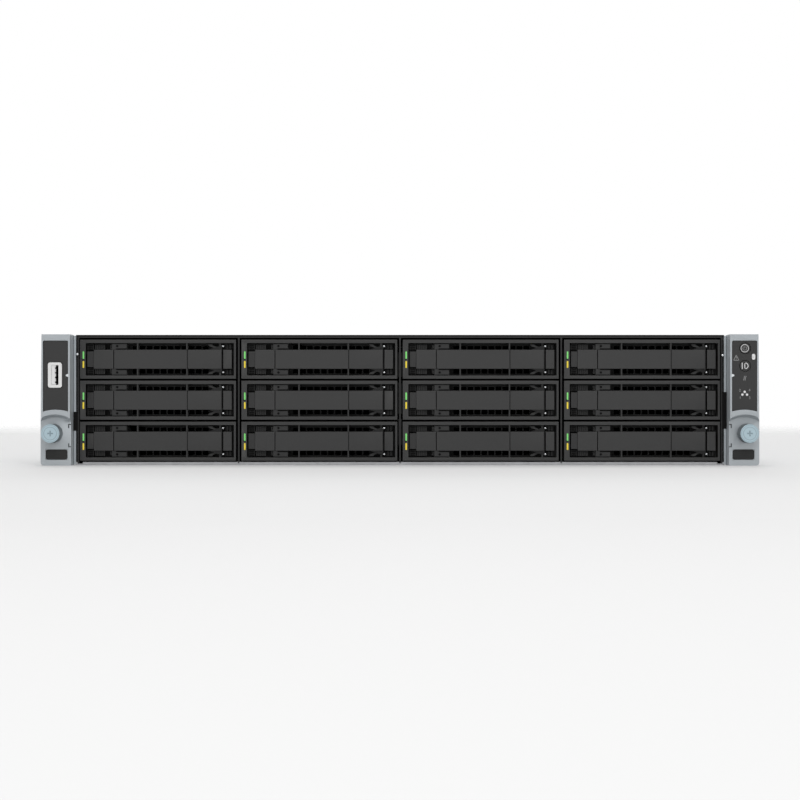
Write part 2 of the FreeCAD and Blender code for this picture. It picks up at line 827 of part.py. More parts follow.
def port_outline(slack):
    across = (port_across - s.port_width / 2 - slack, port_across + s.port_width / 2 + slack)
    up = (port_centre - s.port_height / 2 - slack, port_centre + s.port_height / 2 + slack)
    return rectangle(across, up)


def housing(name, turn):
    """Plastic ear: a flat lower plate, and an upper part that stands out and ends in an arched step."""
    ear = body(name)
    top = s.body_height
    pad(ear, "front", (plate_front, flange_front), [turn(rectangle((ear_inside, ear_outside), (0, top)))])
    upper = [(ear_outside, s.step_height), (ear_outside, top), (ear_inside, top),
             (ear_inside, s.step_height, -bow(ear_outside - ear_inside, s.step_rise))]
    pad(ear, "front", (housing_front, plate_front), [turn(upper)])
    panel_floor = housing_front + s.panel_recess
    cut(ear, "front", (housing_front, panel_floor), [turn(panel_outline(0))])
    cut(ear, "front", (plate_front, plate_front + s.pad_sheet), [turn(pad_outline(0))])
    spot = turn([(knob_across, s.knob_height)])[0]
    cut(ear, "front", (plate_front, flange_front), circles=[(*spot, s.neck_radius + s.neck_slack)])
    return ear, panel_floor


def bracket(name, side):
    """Folded steel angle: its flange lies on the rack and its leg is fixed to the chassis wall."""
    angle = body(name)
    t, outer = s.bracket_sheet, ear_outside - s.bracket_margin
    low, high = s.bracket_margin, s.body_height - s.bracket_margin
    outline = [(half_width, cage_front), (half_width + t, cage_front), (half_width + t, flange_front),
               (outer, flange_front), (outer, rack_plane), (half_width + t, rack_plane),
               (half_width + t, cage_front + s.bracket_reach), (half_width, cage_front + s.bracket_reach)]
    pad(angle, "top", (low, high), [[(side * across, back) for across, back in outline]])
    half = s.square_hole / 2
    cut(angle, "front", (flange_front, rack_plane),
        [rectangle((side * knob_across - half, side * knob_across + half),
                   (s.knob_height - half, s.knob_height + half))])
    return angle


left_ear, panel_floor = housing("left_ear", mirrored)
cut(left_ear, "front", (panel_floor, housing_front + s.port_depth), [mirrored(port_outline(s.port_slack))])
right_ear, panel_floor = housing("right_ear", list)
power_height, marker_height = s.body_height - s.power_fall, s.body_height - s.marker_fall
button_spots = [(port_across, power_height), (port_across, marker_height)]
button_floor = panel_floor + s.button_depth + s.button_travel
well = s.button_radius + s.button_slack
cut(right_ear, "front", (panel_floor, button_floor),
    [rectangle((port_across - well, port_across + well), (marker_height - well, power_height + well))])
finish(group("ear_pieces", [left_ear, right_ear, bracket("left_bracket", -1), bracket("right_bracket", 1)]),
       "rack_ears")

panel_depth = (panel_floor - s.panel_sheet, panel_floor)
left_panel = body("left_panel")
pad(left_panel, "front", panel_depth, [mirrored(panel_outline(s.panel_slack)),
                                       mirrored(port_outline(s.port_slack))])
right_panel = body("right_panel")
pad(right_panel, "front", panel_depth, [panel_outline(s.panel_slack)],
    [(*spot, s.button_radius + s.button_slack) for spot in button_spots])
pads = []
for name, turn in (("left_pad", mirrored), ("right_pad", list)):
    pads.append(body(name))
    pad(pads[-1], "front", (plate_front, plate_front + s.pad_sheet), [turn(pad_outline(s.panel_slack))])
finish(group("panel_pieces", [left_panel, right_panel, *pads]), "ear_panels")


def usb_port():
    """Upright socket in the left ear with its contact tongue."""
    shell = body("usb_shell")
    front = panel_depth[0]
    back = housing_front + s.port_depth
    pad(shell, "front", (front, back), [mirrored(port_outline(0))])
    middle = -port_across
    across = (middle - s.slot_width / 2, middle + s.slot_width / 2)
    up = (port_centre - s.slot_height / 2, port_centre + s.slot_height / 2)
    cut(shell, "front", (front, front + s.slot_depth), [rectangle(across, up)])
    left = across[0] + s.tongue_inset
    tongue = block("usb_tongue", (left, left + s.tongue_width), (front, front + s.slot_depth),
                   (up[0] + s.tongue_inset, up[1] - s.tongue_inset))
    return [shell, tongue]


finish(group("usb_pieces", usb_port()), "usb_port")

button_front = panel_depth[0]
for label, spot in zip(("power_button", "id_button"), button_spots):
    cap = rod(f"{label}_cap", "y", (spot[0], button_front, spot[1]), s.button_radius,
              panel_floor - button_front + s.button_depth)
    finish(group(f"{label}_pieces", [cap]), label)


def thumbscrew():
    """Turned knob with a cross slot, on its captive screw."""
    knob = body("thumbscrew")
    knob_back = s.knob_length - s.knob_gap
    neck_back = rack_plane + s.neck_reach
    drawing = sketch(knob, "side", 0, [[
        (0, 0), (0, s.knob_radius),
        (knob_back, s.knob_radius), (knob_back, s.neck_radius), (neck_back, s.neck_radius),
        (neck_back, s.screw_radius), (neck_back + s.screw_length, s.screw_radius),
        (neck_back + s.screw_length, 0),
    ]], [])
    turned = knob.newObject("PartDesign::Revolution", "turned")
    turned.Profile = drawing
    turned.ReferenceAxis = (drawing, ["H_Axis"])
    turned.Angle = 360
    reach, half = s.cross_length / 2, s.cross_width / 2
    cut(knob, "front", (0, s.cross_depth), [rectangle((-reach, reach), (-half, half))])
    cut(knob, "front", (0, s.cross_depth), [rectangle((-half, half), (-reach, reach))])
    return knob


screw_master = thumbscrew()
copy_of(screw_master, "left_thumbscrew", -knob_across, s.knob_height)
copy_of(screw_master, "right_thumbscrew", knob_across, s.knob_height)


# ---- backplane -------------------------------------------------------------------------------

def backplane():
    board = body("backplane_board")
    edge = wall_inside - s.board_side
    pad(board, "front", (cage_back, board_back),
        [rectangle((-edge, edge), (s.bay_foot, s.body_height - s.bay_head))])
    middle = -1.5 * column_pitch
    across = (middle - s.airway_width / 2, middle + s.airway_width / 2)
    low = s.bay_foot + s.airway_foot
    airways = [rectangle(across, (low + level * row_pitch, low + level * row_pitch + s.airway_height))
               for level in range(3)]
    repeat(board, cut(board, "front", (cage_back, board_back), airways), "H_Axis", column_pitch, 4)
    plugs = []
    for bay in range(12):
        middle = (bay % 4 - 1.5) * column_pitch
        low = s.bay_foot + bay // 4 * row_pitch + s.plug_foot
        plugs.append(block(f"plug_{bay + 1}", (middle - s.plug_width / 2, middle + s.plug_width / 2),
                           (cage_back - s.plug_depth, cage_back), (low, low + s.plug_height)))
    return [board, *plugs]


finish(group("backplane_pieces", backplane()), "backplane")


# ---- fans ------------------------------------------------------------------------------------

fan_places = [index * s.fan_pitch for index in (-1, 0, 1)]
hub_back = fan_front + s.hub_front + s.hub_depth
stator_front = hub_back + s.stator_gap
fan_back = fan_front + s.fan_depth


def fan_frame(index, middle):
    """Square frame with a round duct, and the stator that carries the rotor's bearing on four struts."""
    frame = body(f"fan_frame_{index + 1}")
    half = fan_side / 2
    square = rectangle((middle - half, middle + half), (fan_axis - half, fan_axis + half))
    strut_front = fan_back - s.strut_depth
    pad(frame, "front", (fan_front, strut_front), [square], [(middle, fan_axis, duct_radius)])
    strut, base = s.strut_width / 2, s.stator_side / 2
    pad(frame, "front", (strut_front, fan_back),
        [rectangle((middle - half, middle + half), (fan_axis - strut, fan_axis + strut))])
    pad(frame, "front", (strut_front, fan_back),
        [rectangle((middle - strut, middle + strut), (fan_axis - half, fan_axis + half))])
    pad(frame, "front", (stator_front, fan_back),
        [rectangle((middle - base, middle + base), (fan_axis - base, fan_axis + base))])
    cut(frame, "front", (stator_front, fan_back), circles=[(middle, fan_axis, s.shaft_radius + s.shaft_slack)])
    return frame


def fan_wall():
    """Sheet bulkhead that carries the three frames across the tray."""
    wall = body("fan_wall")
    half = fan_side / 2 + s.wall_slack
    edge = wall_inside - s.board_side
    front = fan_front + s.wall_front
    holes = [rectangle((middle - half, middle + half), (fan_axis - half, fan_axis + half))
             for middle in fan_places]
    outer = rectangle((-edge, edge), (s.sheet, s.body_height - s.bay_head))
    pad(wall, "front", (front, front + s.cage_sheet), [outer, *holes])
    return wall


def fan_rotor():
    """Hub with pitched, cambered blades on a short shaft."""
    rotor = body("fan_rotor")
    pad(rotor, "front", (fan_front + s.hub_front, hub_back), circles=[(0, 0, s.hub_radius)])
    front = fan_front + s.hub_front + s.blade_inset
    back = hub_back - s.blade_inset
    middle, half, t = (front + back) / 2, s.blade_span / 2, s.blade_sheet
    section = [(-half, front), (t - half, front), (s.blade_camber + t, middle), (half, back),
               (half - t, back), (s.blade_camber, middle)]
    blade = pad(rotor, "top", (s.hub_radius / 2, duct_radius - s.blade_gap), [section])
    blades = rotor.newObject("PartDesign::PolarPattern", "blades")
    blades.Originals = [blade]
    blades.Axis = (blade.Profile[0], ["V_Axis"])
    blades.Angle = 360
    bind(blades, "Occurrences", s.blade_count)
    rotor.Tip = blades
    pad(rotor, "front", (hub_back, hub_back + s.shaft_length), circles=[(0, 0, s.shaft_radius)])
    return rotor


frames = [fan_frame(index, middle) for index, middle in enumerate(fan_places)]
finish(group("fan_pieces", [fan_wall(), *frames]), "fan_frames")
rotor_master = fan_rotor()
for index, middle in enumerate(fan_places):
    copy_of(rotor_master, f"fan_rotor_{index + 1}", middle, fan_axis)


# ---- main board, heat sinks and memory -------------------------------------------------------

main_across = (bay_wall + s.sheet + s.main_gap, wall_inside - s.main_side)
main_cell = (main_across[1] - main_across[0]) / s.cell_count
main_along = (s.main_front, rear_face - s.main_back)
sink_places = [main_across[0] + count * main_cell for count in (s.sink_left_count, s.sink_right_count)]
sink_along = (s.main_front + s.sink_front, s.main_front + s.sink_front + s.sink_length)
memory_rows = ((s.memory_left_count, 4), (s.memory_middle_count, 8), (s.memory_right_count, 4))
memory_places = [main_across[0] + (first + index) * main_cell
                 for first, length in memory_rows for index in range(length)]
memory_along = (s.main_front + s.memory_front, s.main_front + s.memory_front + s.memory_length)


def main_board():
    pieces = [block("main_sheet", main_across, main_along, (main_top - s.board_sheet, main_top))]
    inset = s.standoff_inset
    middle = (main_along[0] + main_along[1]) / 2
    for across in (main_across[0] + inset, (main_across[0] + main_across[1]) / 2, main_across[1] - inset):
        for along in (main_along[0] + inset, middle, main_along[1] - inset):
            post = doc.addObject("Part::Prism", "standoff")
            bind(post, "Circumradius", s.standoff_radius)
            bind(post, "Height", s.standoff_height)
            place(post, across, along, s.sheet)
            pieces.append(post)
    centre = (sink_along[0] + sink_along[1]) / 2
    for index, across in enumerate(sink_places):
        half = s.socket_side / 2
        pieces.append(block(f"socket_{index + 1}", (across - half, across + half),
                            (centre - half, centre + half), (main_top, main_top + s.socket_height)))
    for index, across in enumerate(memory_places):
        half = s.holder_width / 2
        pieces.append(block(f"memory_holder_{index + 1}", (across - half, across + half),
                            (memory_along[0] - s.holder_end, memory_along[1] + s.holder_end),
                            (main_top, main_top + s.holder_height)))
    chip = (memory_along[1] + 2 * s.holder_end, memory_along[1] + 2 * s.holder_end + s.chip_side)
    chip_left = main_across[0] + s.memory_middle_count * main_cell
    pieces.append(block("chip", (chip_left, chip_left + s.chip_side), chip,
                        (main_top, main_top + s.chip_height)))
    return pieces


def heat_sink(index, middle):
    sink = body(f"heat_sink_{index + 1}")
    half = s.sink_width / 2
    low = main_top + s.socket_height
    pad(sink, "front", sink_along, [rectangle((middle - half, middle + half), (low, low + s.sink_base))])
    high = cover_under - s.guide_head - s.guide_sheet - s.sink_gap
    fin = rectangle((middle - half, middle - half + s.fin_sheet), (low + s.sink_base, high))
    pitch = (s.sink_width - s.fin_sheet) / (s.fin_count - 1)
    repeat(sink, pad(sink, "front", sink_along, [fin]), "H_Axis", pitch, s.fin_count)
    return sink


finish(group("main_pieces", main_board()), "motherboard")
finish(group("sink_pieces", [heat_sink(index, middle) for index, middle in enumerate(sink_places)]),
       "heat_sinks")
modules = []
for index, across in enumerate(memory_places):
    low = main_top + s.holder_height
    modules.append(block(f"module_{index + 1}", (across - s.memory_sheet / 2, across + s.memory_sheet / 2),
                         memory_along, (low, low + s.memory_height)))
finish(group("module_pieces", modules), "memory_modules")


def air_duct():
    """Moulded hood over the heat sinks and the memory, with a raked mouth towards the fans."""
    hood = body("hood")
    left, right, t = main_across[0] + s.guide_left, main_across[1] - s.guide_right, s.guide_sheet
    low, high = main_top, cover_under - s.guide_head
    profile = [(left, low), (left + t, low), (left + t, high - t), (right - t, high - t),
               (right - t, low), (right, low), (right, high), (left, high)]
    along = (s.guide_front, s.guide_front + s.guide_length)
    pad(hood, "front", along, [profile])
    rake = [(along[0], low), (along[0] + s.guide_rake, low), (along[0], high - t)]
    cut(hood, "side", (left, right), [rake])
    return hood


finish(group("hood_pieces", [air_duct()]), "air_duct")


# ---- rear: risers, ports and power supplies --------------------------------------------------

def riser_pieces():
    inside = (rear_face - s.sheet - s.cover_sheet, rear_face - s.sheet)
    pieces = [block(f"slot_cover_{index + 1}", slot_span(index, s.cover_lap)[0], inside,
                    slot_span(index, s.cover_lap)[1]) for index in range(5)]
    back = rear_face - s.riser_gap
    for index in range(2):
        across = slot_column - s.slot_wide / 2 + index * s.slot_column_pitch
        pieces.append(block(f"riser_card_{index + 1}", (across, across + s.board_sheet),
                            (back - s.riser_length, back), (main_top, cover_under - s.riser_head)))
    return pieces


finish(group("riser_group", riser_pieces()), "riser_cards")


def socket_box(name, middle, width, height, mouth_width, mouths, depth, mouth_depth):
    """A socket on the board's rear edge, open to the rear; mouths are (low, high) pairs."""
    shell = body(name)
    back = rear_face + s.jack_stand
    low = main_top
    pad(shell, "front", (back - depth, back),
        [rectangle((middle - width / 2, middle + width / 2), (low, low + height))])
    holes = [rectangle((middle - mouth_width / 2, middle + mouth_width / 2), (low + a, low + b))
             for a, b in mouths]
    cut(shell, "front", (back - mouth_depth, back), holes)
    return shell


def rear_ports():
    edge = (s.jack_height - s.jack_mouth_height) / 2
    pieces = [socket_box(f"network_socket_{index + 1}", wall_inside - s.jack_side - index * s.jack_pitch, s.jack_width,
                         s.jack_height, s.jack_mouth_width, [(edge, edge + s.jack_mouth_height)],
                         s.jack_depth, s.jack_mouth_depth) for index in range(3)]
    step = s.stack_wall + s.stack_mouth
    mouths = [(s.stack_wall, step), (s.stack_height - step, s.stack_height - s.stack_wall)]
    pieces.append(socket_box("usb_stack", wall_inside - s.stack_side, s.stack_width, s.stack_height,
                             s.stack_width - 2 * s.stack_wall, mouths, s.jack_depth, s.jack_mouth_depth))
    middle = wall_inside - s.video_side
    base = block("video_base", (middle - s.video_width / 2, middle + s.video_width / 2),
                 (rear_face - s.jack_mouth_depth, rear_face), (main_top, main_top + s.video_height))
    shell = body("video_shell")
    low = main_top + (s.video_height - s.video_rise) / 2
    half, tilt = s.video_shell / 2, s.video_shell / 2 - s.stack_wall
    outline = [(middle - tilt, low), (middle + tilt, low), (middle + half, low + s.video_rise),
               (middle - half, low + s.video_rise)]
    pad(shell, "front", (rear_face, rear_face + s.video_stand), [outline])
    return [*pieces, base, shell]


finish(group("port_pieces", rear_ports()), "rear_ports")


def power_supply():
    """A plug-in supply: case, rear face with inlet and fan opening, and a bent handle."""
    case = body("supply_case")
    front = rear_face - s.supply_length
    across = (supply_left, supply_right)
    up = (0, supply_height)
    back = rear_face + s.face_sheet
    pad(case, "front", (front, back), [rectangle(across, up)])
    inlet_left = supply_left + s.inlet_side
    inlet_low = (supply_height - s.inlet_height) / 2
    cut(case, "front", (back - s.inlet_depth, back),
        [rectangle((inlet_left, inlet_left + s.inlet_width), (inlet_low, inlet_low + s.inlet_height))])
    centre = (supply_right - s.grille_side, supply_height / 2)
    cut(case, "front", (back - s.grille_depth, back),
        circles=[(*centre, s.grille_radius)])
    pins = []
    for index in (-1, 0, 1):
        middle = inlet_left + s.inlet_width / 2 + index * s.blade_pin_pitch
        half, rise = s.blade_pin / 2, s.blade_pin_pitch / 2
        low = supply_height / 2 - rise / 2 + (rise if index == 0 else 0)
        pins.append(block(f"inlet_pin_{index + 2}", (middle - half, middle + half),
                          (back - s.inlet_depth, back - s.inlet_depth + s.blade_pin_length), (low, low + rise)))
    handle = body("supply_handle")
    reach, t, r = overall_depth, s.handle_sheet, s.handle_bend
    right = supply_right - s.grille_side + s.handle_span / 2
    left = right - s.handle_span
    loop = [(right, back), (right, reach - r), (right - r, reach), (left + r, reach),
            (left, reach - r), (left, back), (left + t, back), (left + t, reach - r),
            (left + r, reach - t), (right - r, reach - t), (right - t, reach - r), (right - t, back)]
    middle = supply_height / 2
    pad(handle, "top", (middle - s.handle_width / 2, middle + s.handle_width / 2), [loop])
    return [case, handle, *pins]


supply_master = group("supply", power_supply())
for index in range(2):
    copy_of(supply_master, f"psu_{index + 1}", 0.0, supply_floor(index))


# ---- top cover and its latch -----------------------------------------------------------------

cover_front = cage_back + s.cover_gap
dish_front = cover_front + s.dish_back
dish_along = (dish_front, dish_front + s.dish_length)
dish_across = (-s.dish_width / 2, s.dish_width / 2)
latch_along = (dish_along[0] + s.latch_gap, dish_along[1] - s.latch_gap)
latch_across = (dish_across[0] + s.latch_gap, dish_across[1] - s.latch_gap)
latch_top = s.body_height - s.latch_gap / 2
latch_axis = (latch_along[1] - s.latch_radius, latch_top - s.latch_sheet + s.latch_radius)


def top_cover():
    """Flat lid, the skirts along its sides, and the dish under its opening that the latch lies in."""
    lid = body("lid")
    t = s.sheet
    skirt_back = rear_face - t - s.skirt_gap
    outer = wall_inside - s.skirt_gap
    low = cover_under - s.skirt_height
    pad(lid, "top", (cover_under, s.body_height),
        [rectangle((-half_width, half_width), (cover_front, rear_face))])
    cut(lid, "top", (cover_under, s.body_height), [rectangle(dish_across, dish_along)])
    skirts = [block(f"skirt_{side}", span, (cover_front, skirt_back), (low, cover_under))
              for side, span in (("left", (-outer, t - outer)), ("right", (outer - t, outer)))]
    dish = body("dish")
    floor = s.body_height - s.dish_depth
    pad(dish, "top", (floor - t, cover_under),
        [rectangle((dish_across[0] - t, dish_across[1] + t), (dish_along[0] - t, dish_along[1] + t))])
    cut(dish, "top", (floor, cover_under), [rectangle(dish_across, dish_along)])
    return [lid, *skirts, dish]


def latch():
    """Flat handle that lies in the dish and turns up about a pin at its rear end."""
    handle = body("latch")
    front, radius = latch_along[0], s.latch_radius
    low, high = latch_top - s.latch_sheet, latch_top
    profile = [(front + radius, low), (latch_axis[0], low), (latch_axis[0], high), (front, high),
               (front, low + radius)]
    pad(handle, "side", latch_across, [profile])
    pad(handle, "side", latch_across, circles=[(*latch_axis, radius)])
    cut(handle, "side", latch_across, circles=[(*latch_axis, s.latch_pin + s.latch_slack)])
    return handle


latch_pin = rod("latch_pin", "x", (dish_across[0], *latch_axis), s.latch_pin, s.dish_width)
finish(group("cover_pieces", [*top_cover(), latch_pin]), "top_cover")
finish(group("latch_pieces", [latch()]), "cover_latch")


# ---- checks and files ------------------------------------------------------------------------

doc.recompute()
for thing in doc.Objects:
    if "Invalid" in thing.State or "Error" in thing.State:
        raise RuntimeError(f"{thing.Name} ({thing.Label}) did not build: {thing.State}")
    if thing.TypeId == "PartDesign::Pocket" and thing.Shape.Volume >= thing.BaseFeature.Shape.Volume:
        raise RuntimeError(f"{thing.Name} cuts nothing")
os.makedirs("parts", exist_ok=True)
for thing in NODES:
    if thing.Shape.isNull() or not thing.Shape.isValid():
        raise RuntimeError(f"{thing.Label} has no sound shape")
    thing.Shape.exportStep(f"parts/{thing.Label}.step")
print(len(NODES), "sub-parts, overall depth", number(overall_depth))
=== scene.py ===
# %% [markdown]
# # A 2U rack server, dressed over its construction model
# The construction model holds every piece at its real size. This lesson gives the pieces their
# finish: edges are softened, moulded and painted surfaces get their grain, and the small things
# that a construction model leaves out, such as lamps, springs, chips and printed marks, are added.
# The front faces -Y, +X is to the right and +Z is up. Blender works in metres, and lengths in this
# file are millimetres turned into metres where a mesh is made.

# %% Load the construction model
import json
import math

import bmesh
import bpy
from mathutils import Matrix, Vector


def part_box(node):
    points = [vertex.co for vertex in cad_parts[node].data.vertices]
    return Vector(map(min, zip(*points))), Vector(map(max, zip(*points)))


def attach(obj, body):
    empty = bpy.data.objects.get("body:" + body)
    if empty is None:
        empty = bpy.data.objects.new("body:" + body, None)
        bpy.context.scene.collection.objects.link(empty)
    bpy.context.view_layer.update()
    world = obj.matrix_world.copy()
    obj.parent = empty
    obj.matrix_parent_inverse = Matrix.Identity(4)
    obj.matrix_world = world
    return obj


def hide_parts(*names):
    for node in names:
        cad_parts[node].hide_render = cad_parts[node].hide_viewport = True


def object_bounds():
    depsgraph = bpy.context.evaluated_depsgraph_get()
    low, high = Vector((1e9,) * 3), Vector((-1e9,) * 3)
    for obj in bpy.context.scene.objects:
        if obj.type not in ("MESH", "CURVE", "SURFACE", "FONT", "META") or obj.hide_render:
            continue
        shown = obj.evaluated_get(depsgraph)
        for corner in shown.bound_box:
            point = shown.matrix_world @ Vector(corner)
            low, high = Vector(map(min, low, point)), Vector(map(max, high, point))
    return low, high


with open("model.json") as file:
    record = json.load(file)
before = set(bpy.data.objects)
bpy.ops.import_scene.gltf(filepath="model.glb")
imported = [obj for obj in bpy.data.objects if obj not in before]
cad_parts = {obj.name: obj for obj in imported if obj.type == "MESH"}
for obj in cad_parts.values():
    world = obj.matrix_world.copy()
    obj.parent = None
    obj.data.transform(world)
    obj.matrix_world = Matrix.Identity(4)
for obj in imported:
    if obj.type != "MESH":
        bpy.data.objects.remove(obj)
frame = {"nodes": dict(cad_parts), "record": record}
nodes = frame["nodes"]
cad_box = [list(corner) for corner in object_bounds()]
MM = 0.001
low, high = (Vector(corner) / MM for corner in cad_box)
body_of = {node: body for body, members in frame["record"]["behaviour"]["bodies"].items()
           for node in members}
BAYS = range(1, 13)
print("server box in mm", [round(v, 1) for v in low], [round(v, 1) for v in high])

# %% [markdown]
# ## Camera
# The server is seen straight on from the front, from a little over a metre away. So near a camera
# the deep sides stay hidden behind the ears, and the knobs, which stand nearest, show their inner
# sides a little.

# %% Camera straight in front
CAMERA_DISTANCE = 1.150       # to the faces of the ears
FIELD_OF_VIEW = 26.2          # degrees across
ear_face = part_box("rack_ears")[0].y
middle_height = (low.z + high.z) / 2 * MM
lens = bpy.data.cameras.new("camera")
lens.angle = math.radians(FIELD_OF_VIEW)
camera = bpy.data.objects.new("camera", lens)
camera.location = (0, ear_face - CAMERA_DISTANCE, middle_height)
camera.rotation_euler = (math.radians(90), 0, 0)
bpy.context.scene.collection.objects.link(camera)
bpy.context.scene.camera = camera
bpy.context.scene.view_settings.view_transform = "Standard"
print("lens", round(lens.lens, 2), "mm, camera at", [round(v, 3) for v in camera.location])

# %% [markdown]
# ## Room and light
# The background is white to the camera and in reflections, so that bright metal has something to
# mirror, while the light that reaches the server is softer and comes from large panels. The floor
# is a pale matt sheet that keeps the server's shadow and fades out towards its edges.


# %% Helpers for nodes
def step(tree, kind, inputs=None, **settings):
    """Adds a node. Its inputs are plain values, or the sockets that feed them."""
    node = tree.nodes.new(kind)
    for label, value in settings.items():
        setattr(node, label, value)
    for label, source in (inputs or {}).items():
        if isinstance(source, bpy.types.NodeSocket):
            tree.links.new(source, node.inputs[label])
        else:
            node.inputs[label].default_value = source
    return node


def calculate(tree, operation, first, second):
    return step(tree, "ShaderNodeMath", {0: first, 1: second}, operation=operation).outputs[0]


def noise(tree, where, scale, **inputs):
    return step(tree, "ShaderNodeTexNoise", {"Vector": where, "Scale": scale, **inputs})


print("node helpers ready")

# %% Room
WHITE = (1, 1, 1, 1)
ROOM_LIGHT, BACKDROP_LIGHT = 0.3, 1.0
world = bpy.data.worlds.new("studio")
bpy.context.scene.world = world
world.use_nodes = True
tree = world.node_tree
tree.nodes.clear()
rays = step(tree, "ShaderNodeLightPath").outputs
seen = calculate(tree, "MAXIMUM", rays["Is Camera Ray"], rays["Is Glossy Ray"])
seen = calculate(tree, "MAXIMUM", seen, rays["Is Transmission Ray"])
room_light, backdrop = (step(tree, "ShaderNodeBackground", {"Color": WHITE, "Strength": strength})
                        for strength in (ROOM_LIGHT, BACKDROP_LIGHT))
choose = step(tree, "ShaderNodeMixShader",
              {"Fac": seen, 1: room_light.outputs[0], 2: backdrop.outputs[0]})
step(tree, "ShaderNodeOutputWorld", {"Surface": choose.outputs[0]})

REACH = 1.6                   # from the floor's middle to its edges, in metres
floor_mesh = bpy.data.meshes.new("floor")
floor_mesh.from_pydata([(-REACH, -REACH, 0), (REACH, -REACH, 0), (REACH, REACH, 0),
                        (-REACH, REACH, 0)], [], [(0, 1, 2, 3)])
floor_mesh.transform(Matrix.Translation((0, 0, low.z * MM)))
floor = bpy.data.objects.new("floor", floor_mesh)
bpy.context.scene.collection.objects.link(floor)
pale = bpy.data.materials.new("pale_floor")
pale.use_nodes = True
tree = pale.node_tree
sheet = tree.nodes["Principled BSDF"]
sheet.inputs["Base Color"].default_value = (0.86, 0.86, 0.86, 1)
sheet.inputs["Roughness"].default_value = 0.9
spread = step(tree, "ShaderNodeMapping", {
    "Vector": step(tree, "ShaderNodeTexCoord").outputs["Object"],
    "Scale": (1 / REACH, 1 / REACH, 1)})
fade = step(tree, "ShaderNodeTexGradient", {"Vector": spread.outputs["Vector"]},
            gradient_type="SPHERICAL")
soft_end = step(tree, "ShaderNodeMapRange", {"Value": fade.outputs["Fac"], "From Max": 0.45})
clear_end = step(tree, "ShaderNodeBsdfTransparent")
shown = step(tree, "ShaderNodeMixShader", {"Fac": soft_end.outputs["Result"],
                                           1: clear_end.outputs[0], 2: sheet.outputs[0]})
tree.links.new(shown.outputs[0], tree.nodes["Material Output"].inputs["Surface"])
floor.data.materials.append(pale)
print("floor", round(2 * REACH, 1), "m wide")


# %% Lamps
def soft_panel(name, place, target, size, power):
    lamp = bpy.data.lights.new(name, "AREA")
    lamp.shape = "RECTANGLE"
    lamp.size, lamp.size_y = size
    lamp.energy = power
    panel = bpy.data.objects.new(name, lamp)
    panel.location = place
    panel.rotation_euler = (Vector(target) - Vector(place)).to_track_quat("-Z", "Y").to_euler()
    bpy.context.scene.collection.objects.link(panel)
    print(name, power, "W")


FRONT, BACK = low.y * MM, high.y * MM
front_middle = (0, FRONT, middle_height)
soft_panel("key_above", (0.3, FRONT - 1.6, 1.5), front_middle, (1.8, 1.0), 15)
soft_panel("fill_left", (-2.0, FRONT - 1.0, 0.7), front_middle, (1.0, 1.2), 8)
soft_panel("fill_right", (2.0, FRONT - 1.0, 0.7), front_middle, (1.0, 1.2), 6.5)
soft_panel("over_top", (0, 0.1, 2.0), (0, 0, middle_height), (1.8, 1.8), 15)
soft_panel("behind", (0, BACK + 1.7, 1.0), (0, BACK, middle_height), (1.8, 0.9), 14)

# %% [markdown]
# ## Surface effects
# Each finish on the server is one of four kinds: a moulded or powder-coated skin with a fine
# grain, rolled or turned metal with streaks, zinc-coated steel with its crystals, and printed
# board with copper tracks under the varnish. They could each be drawn in every material, but a
# node group for each effect keeps them alike and lets one material differ from the next only in
# its values. A fifth group lays a little dust on the faces that look upwards.


# %% Helpers for node groups
def effect(name, inputs, outputs=("Colour", "Roughness", "Height")):
    """Starts a group: gives it with its given values, its results and its coordinates."""
    group = bpy.data.node_groups.new(name, "ShaderNodeTree")
    kinds = {"Colour": "NodeSocketColor", "Stretch": "NodeSocketVector"}
    for labels, way in ((inputs, "INPUT"), (outputs, "OUTPUT")):
        for label in labels:
            socket = group.interface.new_socket(name=label, in_out=way,
                                                socket_type=kinds.get(label, "NodeSocketFloat"))
            if way == "INPUT":
                socket.default_value = inputs[label]
    given, result = step(group, "NodeGroupInput"), step(group, "NodeGroupOutput")
    where = step(group, "ShaderNodeTexCoord").outputs
    return group, given.outputs, result.inputs, where


def swing(group, pattern, amount, around):
    """around + amount * (pattern - 0.5) * 2, for a pattern that runs from 0 to 1."""
    centred = calculate(group, "SUBTRACT", pattern, 0.5)
    doubled = calculate(group, "MULTIPLY", centred, 2.0)
    return calculate(group, "ADD", calculate(group, "MULTIPLY", doubled, amount), around)


def close_effect(group, given, result, pattern, height, rough_pattern=None):
    """Colour and roughness swing with a pattern, and the relief follows a height."""
    shade = swing(group, pattern, given["Contrast"], 1.0)
    tinted = step(group, "ShaderNodeVectorMath", {0: given["Colour"], "Scale": shade},
                  operation="SCALE").outputs[0]
    rough = swing(group, rough_pattern or pattern, given["Spread"], given["Roughness"])
    for label, source in (("Colour", tinted), ("Roughness", rough), ("Height", height)):
        group.links.new(source, result[label])
    print(group.name, len(group.nodes), "nodes")


GREY = (0.5, 0.5, 0.5, 1)
SURFACE = {"Colour": GREY, "Scale": 1000.0, "Contrast": 0.1, "Roughness": 0.5, "Spread": 0.08}
print("effect helpers ready")

# %% Moulded grain
grain, given, result, where = effect("moulded_grain", SURFACE)
fine = noise(grain, where["Object"], given["Scale"], Detail=3.0).outputs["Fac"]
broad = noise(grain, where["Object"], 22.0, Detail=4.0).outputs["Fac"]
both = calculate(grain, "MULTIPLY", calculate(grain, "ADD", fine, broad), 0.5)
close_effect(grain, given, result, both, fine)

